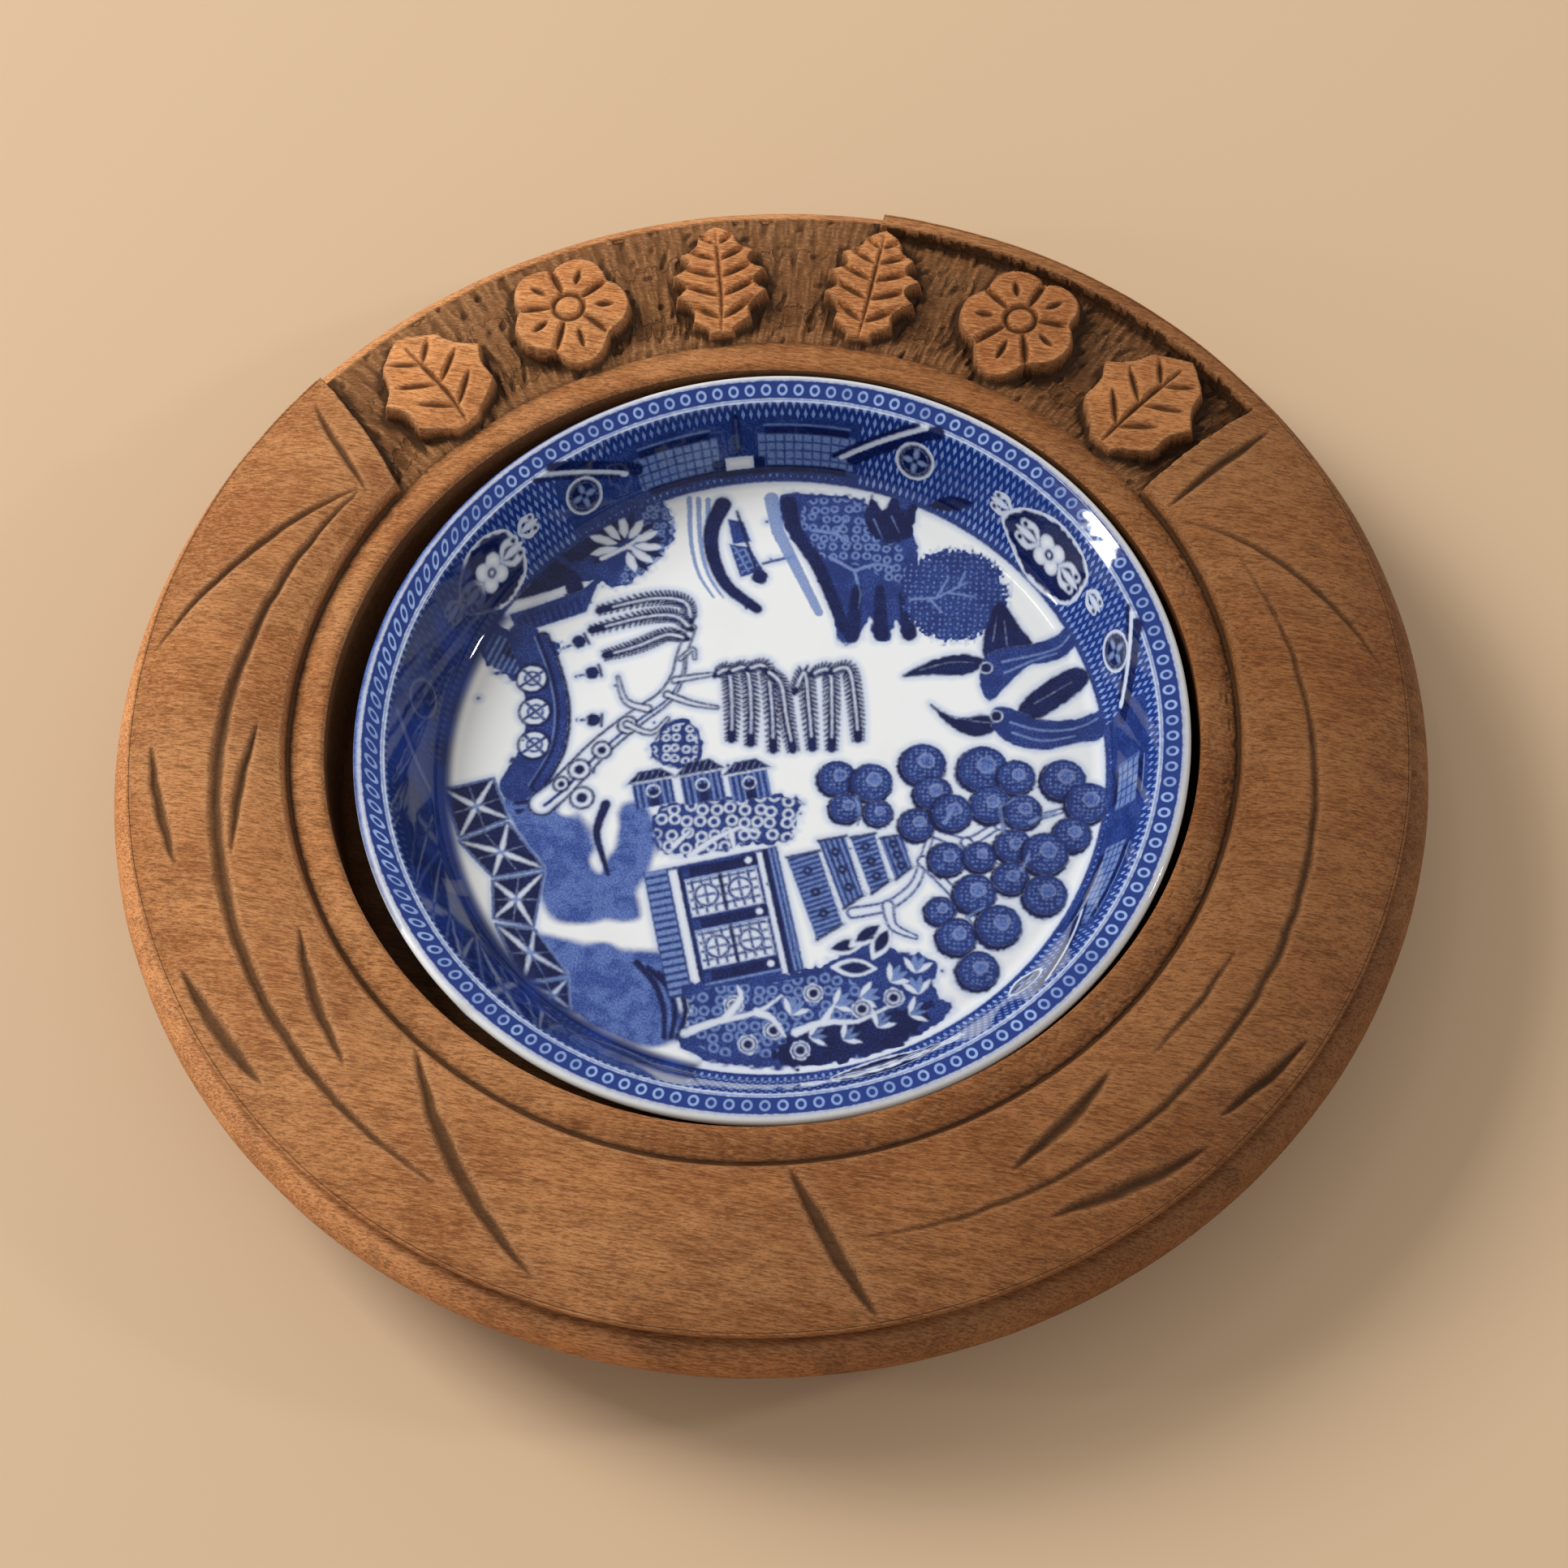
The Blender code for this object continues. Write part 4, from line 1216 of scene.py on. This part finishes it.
class Shading:
    """Builds a material's nodes: each call adds one node and returns its output."""

    def __init__(self, name):
        self.material = bpy.data.materials.new(name)
        self.material.use_nodes = True
        self.tree = self.material.node_tree
        self.shader = self.tree.nodes["Principled BSDF"]

    def node(self, kind, settings=None, **inputs):
        made = self.tree.nodes.new(kind)
        for key, value in (settings or {}).items():
            setattr(made, key, value)
        for key, value in inputs.items():
            self.put(made.inputs[key.replace("_", " ")], value)
        return made

    def put(self, socket, value):
        if isinstance(value, bpy.types.NodeSocket):
            self.tree.links.new(value, socket)
        else:
            socket.default_value = value

    def maths(self, operation, *values):
        made = self.node("ShaderNodeMath", {"operation": operation})
        for socket, value in zip(made.inputs, values):
            self.put(socket, value)
        return made.outputs[0]

    def add(self, a, b):
        return self.maths("ADD", a, b)

    def subtract(self, a, b):
        return self.maths("SUBTRACT", a, b)

    def times(self, a, b):
        return self.maths("MULTIPLY", a, b)

    def ramp(self, value, low, high, to_low=0.0, to_high=1.0):
        """Value from low to high turned smoothly into to_low to to_high."""
        ends = {"From_Min": low, "From_Max": high, "To_Min": to_low, "To_Max": to_high}
        return self.node("ShaderNodeMapRange", {"interpolation_type": "SMOOTHSTEP"}, Value=value,
            **ends).outputs[0]

    def mix(self, share, first, second, blend="MIX"):
        made = self.node("ShaderNodeMix", {"data_type": "RGBA", "blend_type": blend})
        self.put(made.inputs[0], share)
        for index, value in ((6, first), (7, second)):
            self.put(made.inputs[index], (*value, 1.0) if isinstance(value, tuple) else value)
        return made.outputs[2]

    def place(self, scale, turn=0.0, shift=(0.0, 0.0, 0.0)):
        """Object coordinates in millimetres, turned about Z and stretched."""
        coordinates = self.node("ShaderNodeTexCoord").outputs["Object"]
        if turn:
            about_z = {"rotation_type": "Z_AXIS"}
            turned = self.node("ShaderNodeVectorRotate", about_z, Vector=coordinates,
                Angle=math.radians(turn))
            coordinates = turned.outputs[0]
        scale = [value / MM for value in scale]
        return self.node("ShaderNodeMapping", Vector=coordinates, Scale=scale, Location=shift).outputs[0]

    def noise(self, place, detail=2.0, roughness=0.5, distortion=0.0):
        look = {"Scale": 1.0, "Detail": detail, "Roughness": roughness, "Distortion": distortion}
        return self.node("ShaderNodeTexNoise", Vector=place, **look).outputs["Fac"]

    def attribute(self, name):
        return self.node("ShaderNodeAttribute", {"attribute_name": name}).outputs["Fac"]

    def bump(self, height, distance, strength):
        return self.node("ShaderNodeBump", Height=height, Distance=distance * MM,
            Strength=strength).outputs["Normal"]

    def complete(self, colour, normal_input, normal, **values):
        """Joins the colour and the bump to the shader, and sets its other values."""
        self.put(self.shader.inputs["Base Color"], colour)
        self.put(self.shader.inputs[normal_input], normal)
        for key, value in values.items():
            self.put(self.shader.inputs[key.replace("_", " ")], value)
        return self.material


GRAIN_TURN = 7.0


def wood_material():
    """Old close-grained wood: warm brown with fine flecks, dark in its cuts, pale on its worn edges; painted
    highlight on convex edges and the bead, painted shade in hollows, recess and to the right.
    """
    s = Shading("carved_wood")

    def grain(scale, detail, roughness=0.5, distortion=0.0, shift=(0.0, 0.0, 0.0)):
        return s.noise(s.place(scale, GRAIN_TURN, shift), detail, roughness, distortion)

    broad = grain((0.012, 0.05, 0.05), 3.0)
    streak = grain((0.03, 0.55, 0.5), 3.0, 0.6, 0.3)
    fleck = grain((0.8, 5.0, 3.8), 2.0, 0.6)
    pore = grain((1.3, 9.5, 8.0), 2.0, 0.6)
    stain = grain((0.045, 0.06, 0.06), 4.0, 0.6, 0.0, (3.1, 7.7, 0.0))
    dash = grain((0.3, 2.7, 2.2), 3.0, 0.7, 0.3, (5.0, 1.0, 0.0))
    smudge = grain((0.11, 0.13, 0.05), 3.0, 0.6, 0.6, (9.1, 2.7, 0.0))
    cloudy = grain((0.16, 0.42, 0.3), 4.0, 0.7, 0.4, (1.7, 4.1, 0.0))
    names = ("edge_wear_and_highlight", "crease_shade", "ground", "gouge", "around")
    edge_wear_and_highlight, crease_shade, ground, gouge, around = (s.attribute(name) for name in names)
    bead = s.ramp(around, 96.3, 97.6)
    # Painted shade in the recess: its wall and floor are darkened.
    recess = s.times(s.ramp(around, 66.9, 66.3), s.ramp(around, 0.5, 2.0))
    # X across the dish, turned 12 degrees: it places the painted shade on the right and the painted light on
    # the bead.
    side = s.node("ShaderNodeSeparateXYZ", Vector=s.place((1, 1, 1), 12.0)).outputs[0]

    colour = s.mix(s.ramp(broad, 0.35, 0.65), (0.64, 0.285, 0.108), (0.53, 0.204, 0.067))
    for field, low, high, share, tint in (
        (streak, 0.42, 0.66, 0.4, (0.26, 0.098, 0.03)),
        (cloudy, 0.5, 0.66, 0.3, (0.25, 0.104, 0.036)),
        (stain, 0.46, 0.62, 0.45, (0.27, 0.074, 0.02)),
        (dash, 0.51, 0.6, 0.62, (0.19, 0.07, 0.022)),
        (dash, 0.46, 0.38, 0.5, (0.66, 0.33, 0.135)),
        (fleck, 0.54, 0.62, 0.5, (0.2, 0.072, 0.022)),
        (fleck, 0.46, 0.38, 0.45, (0.62, 0.31, 0.13)),
        (pore, 0.54, 0.64, 0.45, (0.15, 0.054, 0.018)),
        (smudge, 0.56, 0.68, s.ramp(bead, 0.0, 1.0, 0.1, 0.34), (0.1, 0.04, 0.016)),
    ):
        colour = s.mix(s.times(s.ramp(field, low, high), share), colour, tint)

    # The ground, the gouges, painted shade in the other hollows, the worn edges with a painted highlight on
    # every convex edge, and painted shade in the recess.
    for share, tint in (
        (s.times(s.maths("MAXIMUM", ground, 0.0), s.ramp(pore, 0.3, 0.62, 0.4, 0.88)), (0.158, 0.072, 0.027)),
        (s.times(gouge, s.ramp(pore, 0.3, 0.65, 0.8, 0.4)), (0.19, 0.102, 0.05)),
        # Painted shade in the hollows and creases.
        (s.times(crease_shade, s.ramp(gouge, 0.1, 0.6, 0.85, 0.62)), (0.05, 0.022, 0.009)),
        # Worn edges, with a painted highlight on every convex edge.
        (s.times(edge_wear_and_highlight, s.ramp(fleck, 0.35, 0.6, 0.5, 0.05)), (0.6, 0.32, 0.155)),
        # Painted shade in the recess.
        (s.times(recess, 0.72), (0.045, 0.019, 0.009)),
    ):
        colour = s.mix(share, colour, tint)

    # Painted shade darker towards the right, where the light falls off; painted light on the left part of the
    # bead; and lighter on the motifs.
    for share, tint in (
        # Painted shade: darker towards the right, where the light falls off.
        (s.ramp(s.add(side, s.times(stain, 30.0)), -60.0, 120.0, 0.0, 0.9), (0.4, 0.355, 0.3)),
        # Painted light: lighter on the left part of the bead.
        (s.times(bead, s.ramp(side, 55.0, 10.0)), (1.3, 1.3, 1.3)),
        (s.ramp(ground, -0.3, -0.95), (1.38, 1.34, 1.28)),
    ):
        colour = s.mix(share, colour, tint, "MULTIPLY")
    rough = s.add(s.add(s.times(fleck, 0.7), s.times(pore, 0.5)), s.times(dash, 0.5))
    s.put(s.shader.inputs["Roughness"], s.ramp(streak, 0.2, 0.8, 0.52, 0.7))
    return s.complete(colour, "Normal", s.bump(rough, 0.13, 0.9), Specular_IOR_Level=0.22)


# ---------------------------------------------------------------- china


def liner_outline():
    """(inside, outside) parts of the liner's outline from the edge of the flat well, as lists of (r, z)."""
    well_top = LINER_FOOT_HEIGHT + LINER_WALL
    middle = (LINER_WELL, well_top + LINER_WELL_ROUND)
    bend = ellipse_arc(middle, (LINER_WELL_ROUND,) * 2, -90, -LINER_LEAN, 22)
    wall = rounded([(*bend[-1], 0), (*LINER_WALL_TOP, 1.0)], 0.25)
    rim_start = ellipse_arc(LINER_LIP_MIDDLE, (LINER_LIP,) * 2, 100, -40, 14)
    rim = rounded([(*wall[-1], 0), (*rim_start[0], 0)], 0.3)
    back = LINER_WELL_ROUND + LINER_WALL
    outer = ellipse_arc(middle, (back, back), -LINER_LEAN, -90, 16)
    foot = rounded(
        [
            (*outer[-1], 0),
            (LINER_FOOT + 0.4, LINER_FOOT_HEIGHT, 0.5),
            (LINER_FOOT, 0.0, 0.4),
            (LINER_FOOT - LINER_FOOT_WIDTH, 0.0, 0.4),
            (LINER_FOOT - LINER_FOOT_WIDTH, LINER_FOOT_HEIGHT, 0.4),
            (6, LINER_FOOT_HEIGHT, 0),
        ],
        1.5,
    )
    return bend + wall[1:] + rim[1:] + rim_start[1:], [LINER_BACK_TOP] + outer + foot[1:]


def make_liner_surface(centre):
    """The liner, with the print held as distances at its points."""
    inside, outside = liner_outline()
    well_top = LINER_FOOT_HEIGHT + LINER_WALL
    outline = [(0.0, well_top, 1)]
    for r in np.arange(0.8, LINER_WELL, 0.25):
        share = 8 if r < 8 else 4 if r < 16 else 2 if r < 32 else 1
        outline.append((r, well_top, LINER_STEPS // share))
    outline += [(r, z, LINER_STEPS) for r, z in inside]
    printed = sum(count for _, _, count in outline)
    outline += [(r, z, LINER_STEPS // 2) for r, z in outside]
    outline.append((0.0, LINER_FOOT_HEIGHT, 1))
    points, across = [], []
    previous, travelled = None, 0.0
    for r, z, count in outline:
        turn = np.arange(count) * math.tau / count
        points.append(np.stack([r * np.cos(turn), r * np.sin(turn), np.full(count, z)], 1))
        if previous is not None:
            travelled += math.hypot(r - previous[0], z - previous[1])
        previous = (r, z)
        across.append(np.full(count, travelled))
    points = np.concatenate(points)
    top_at = np.argmin(np.abs(points[:, 0] - LINER_WALL_TOP[0]) + np.abs(points[:, 1]) + 9 * (points[:,
        2] < 17))
    across = np.concatenate(across)
    up_wall = across - across[top_at]

    x, y = points[:printed, 0] + centre[0] / MM, points[:printed, 1]
    ink = Print(x, y)
    draw_landscape(ink)
    degrees = np.degrees(np.arctan2(y, x))
    border = Print(np.where(degrees < -90, degrees + 360, degrees), up_wall[:printed], ink.tones)
    draw_border(border)
    attributes = {"up_wall": up_wall}
    for tone, values in ink.tones.items():
        attributes[tone] = np.concatenate([np.clip(values, -2, 2), np.full(len(points) - printed, 2.0)])
    chip = np.exp(-((np.degrees(np.arctan2(points[:, 1], points[:, 0])) + 131) ** 2) / 3.0)
    lip = smooth(4.0, 5.2, up_wall) * smooth(9.0, 6.0, up_wall)
    points[:, 2] -= 0.5 * chip * lip
    wavy = 0.05 * noise(points[:, 0] * 0.06, points[:, 1] * 0.06, 71)
    points[:, 2] += wavy * smooth(30, 60, np.hypot(points[:, 0], points[:, 1]))
    obj = new_object("liner_surface", points, ring_faces([count for _, _, count in outline]), attributes)
    obj.location = centre
    return obj


def china_material():
    """Glazed white earthenware with a flow-blue print under the glaze."""
    s = Shading("printed_china")
    fine = s.noise(s.place((3.2, 3.2, 3.2)), 2.0, 0.6)
    cloud = s.noise(s.place((0.1, 0.1, 0.1)), 3.0, 0.6)
    spread = s.times(s.subtract(s.noise(s.place((1.4, 1.4, 1.4)), 2.0), 0.5), 0.3)

    def inked(name, soft):
        return s.ramp(s.add(s.attribute(name), spread), soft, -soft)

    up_wall = s.attribute("up_wall")
    place = s.node("ShaderNodeSeparateXYZ", Vector=s.node("ShaderNodeTexCoord").outputs["Object"])
    angle = s.times(s.maths("ARCTAN2", place.outputs[1], place.outputs[0]), 1 / math.tau)

    def folded(value):
        """0 at whole numbers, 0.5 halfway between them."""
        return s.maths("PINGPONG", value, 0.5)

    # Rows of little diamonds down the wall, every other row shifted by half a diamond.
    across, down = s.times(angle, LATTICE_COUNT), s.times(up_wall, 1 / LATTICE_PITCH)
    first = folded(s.add(across, s.times(down, 0.5)))
    second = folded(s.subtract(across, s.times(down, 0.5)))
    gap = s.maths("MINIMUM", first, second)
    gap = s.add(gap, s.times(spread, 0.4))
    diamonds = s.times(s.ramp(cloud, 0.4, 0.62, 1.0, 0.6), s.ramp(gap, 0.19, 0.3))

    # A chain of rings round the rim.
    up = s.subtract(up_wall, CHAIN_MIDDLE)
    smear = s.ramp(s.maths("ABSOLUTE", s.subtract(s.maths("ABSOLUTE", angle), 0.46)), 0.1, 0.03)
    slant = s.times(s.times(smear, up), 0.42)
    along = s.times(s.subtract(0.5, folded(s.add(s.times(angle, CHAIN_COUNT), slant))), CHAIN_PITCH)
    reach = s.maths("SQRT", s.add(s.times(s.times(along, along), 1.5), s.times(up, up)))
    broken = s.ramp(cloud, 0.4, 0.62, 1.0, 0.65)
    links = s.times(broken, s.ramp(s.maths("ABSOLUTE", s.subtract(reach, 0.76)), 0.32, 0.12))

    white = s.mix(s.times(s.ramp(cloud, 0.45, 0.75), 0.25), WHITE, DULL_WHITE)
    # Painted light: the white is brighter on the left of the well.
    white = s.mix(s.ramp(place.outputs[0], -0.032, -0.054), white, PAINTED_LIGHT_WHITE)
    nearest = s.maths("MINIMUM", s.attribute("dark"), s.attribute("middle"))
    nearest = s.maths("MINIMUM", nearest, s.attribute("lattice"))
    colour = s.mix(s.ramp(nearest, 1.3, -0.1, 0.0, 0.5), white, HALO)
    speckle = s.ramp(fine, 0.38, 0.64)
    patch = s.noise(s.place((0.33, 0.33, 0.33), 0.0, (4.0, 9.0, 0.0)), 3.0, 0.65)
    dense = s.ramp(patch, 0.4, 0.62)
    watery = s.mix(dense, s.mix(speckle, WASH, WASH_PALE), s.mix(speckle, WASH_DEEP, WASH))
    colour = s.mix(inked("wash", 0.8), colour, watery)
    lattice = s.mix(diamonds, LATTICE_DARK, LATTICE_PALE)
    colour = s.mix(inked("lattice", 0.15), colour, lattice)
    colour = s.mix(inked("chain", 0.15), colour, s.mix(links, CHAIN_DARK, CHAIN_PALE))
    middle = s.mix(s.times(speckle, s.ramp(dense, 0.0, 1.0, 1.0, 0.3)), MIDDLE, MIDDLE_PALE)
    colour = s.mix(inked("middle", 0.25), colour, middle)
    pale = s.mix(s.times(speckle, 0.4), PALE, MIDDLE_PALE)
    colour = s.mix(s.times(inked("pale", 0.2), 0.9), colour, pale)
    dark = s.mix(s.times(speckle, s.ramp(dense, 0.0, 1.0, 0.8, 0.25)), DARK, MIDDLE)
    colour = s.mix(inked("dark", 0.3), colour, dark)
    # Painted shade: dark blues over the left part of the wall, where the deep tone lies.
    shade = s.mix(s.ramp(cloud, 0.4, 0.65), PAINTED_SHADE_DARK, PAINTED_SHADE_PALE)
    colour = s.mix(s.times(s.ramp(s.attribute("deep"), 0.9, -0.9), 0.9), colour, shade)
    glaze = s.bump(s.noise(s.place((0.16, 0.16, 0.16)), 2.0), 0.06, 0.5)
    shine = {"Roughness": 0.22, "Specular_IOR_Level": 0.0, "Coat_Weight": 1.0, "Coat_Roughness": 0.03}
    return s.complete(colour, "Coat Normal", glaze, **shine)


# ---------------------------------------------------------------- stage

CAMERA_AIM = Vector((3.7, -9.6, 25.4))
CAMERA_DISTANCE = 510.4
CAMERA_AZIMUTH = -80.92
CAMERA_ELEVATION = 63.67
CAMERA_ROLL = -6.09
CAMERA_LENS = 78.48


def make_camera():
    data = bpy.data.cameras.new("camera")
    data.lens = CAMERA_LENS
    data.sensor_width = 36.0
    data.clip_start, data.clip_end = 0.01, 20.0
    camera = bpy.data.objects.new("camera", data)
    bpy.context.scene.collection.objects.link(camera)
    azimuth, elevation = math.radians(CAMERA_AZIMUTH), math.radians(CAMERA_ELEVATION)
    back = Vector(
        (math.cos(elevation) * math.cos(azimuth), math.cos(elevation) * math.sin(azimuth),
            math.sin(elevation))
    )
    level = (-back).cross(Vector((0, 0, 1))).normalized()
    upright = level.cross(-back)
    roll = math.radians(CAMERA_ROLL)
    right = level * math.cos(roll) + upright * math.sin(roll)
    up = upright * math.cos(roll) - level * math.sin(roll)
    turn = Matrix((right, up, back)).transposed().to_4x4()
    camera.matrix_world = Matrix.Translation((CAMERA_AIM + back * CAMERA_DISTANCE) * MM) @ turn
    bpy.context.scene.camera = camera


def make_area_light(name, place, aim, size, power, colour):
    data = bpy.data.lights.new(name, "AREA")
    data.shape = "RECTANGLE"
    data.size, data.size_y = size
    data.energy = power
    data.color = colour
    light = bpy.data.objects.new(name, data)
    light.location = place
    light.rotation_euler = (Vector(aim) - Vector(place)).to_track_quat("-Z", "Y").to_euler()
    bpy.context.scene.collection.objects.link(light)
    return light


def make_world():
    world = bpy.data.worlds.new("studio")
    bpy.context.scene.world = world
    world.use_nodes = True
    background = world.node_tree.nodes["Background"]
    background.inputs["Color"].default_value = (1.0, 0.95, 0.89, 1.0)
    background.inputs["Strength"].default_value = 0.41


def make_floor():
    mesh = bpy.data.meshes.new("floor")
    half = 3.0
    mesh.from_pydata([(-half, -half, 0), (half, -half, 0), (half, half, 0), (-half, half, 0)], [], [(0, 1,
        2, 3)])
    floor = bpy.data.objects.new("floor", mesh)
    bpy.context.scene.collection.objects.link(floor)
    s = Shading("floor")
    s.put(s.shader.inputs["Base Color"], (0.69, 0.495, 0.315, 1.0))
    s.shader.inputs["Roughness"].default_value = 0.75
    floor.data.materials.append(s.material)


def make_stage():
    scene = bpy.context.scene
    scene.view_settings.view_transform = "Standard"
    make_camera()
    make_world()
    make_floor()
    window = make_area_light("window", (-1.15, 0.62, 1.02), (0.0, 0.0, 0.0), (0.7, 0.7), 23.0, (0.98, 0.99,
        1.0))
    window.visible_glossy = False
    make_area_light("rim_glint", (-0.343, 0.357, 1.22), (0.047, 0.039, 0.024), (0.02, 0.13), 0.3, (1.0, 1.0,
        1.0))
    make_area_light("right_glint", (1.0, 0.09, 0.61), (-0.05, 0.02, 0.024), (0.1, 0.1), 1.6, (1.0, 1.0, 1.0))
    make_area_light("wall_glint", (-1.22, -0.22, 0.5), (0.05, 0.03, 0.015), (0.05, 0.16), 1.0, (1.0, 1.0,
        1.0))


def main():
    dish = make_dish_surface()
    dish.data.materials.append(wood_material())
    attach(dish, "dish")
    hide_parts("wooden_dish")

    low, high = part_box("china_liner")
    liner = make_liner_surface(((low.x + high.x) / 2, (low.y + high.y) / 2, low.z))
    liner.data.materials.append(china_material())
    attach(liner, "liner")
    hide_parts("china_liner")

    make_stage()


main()
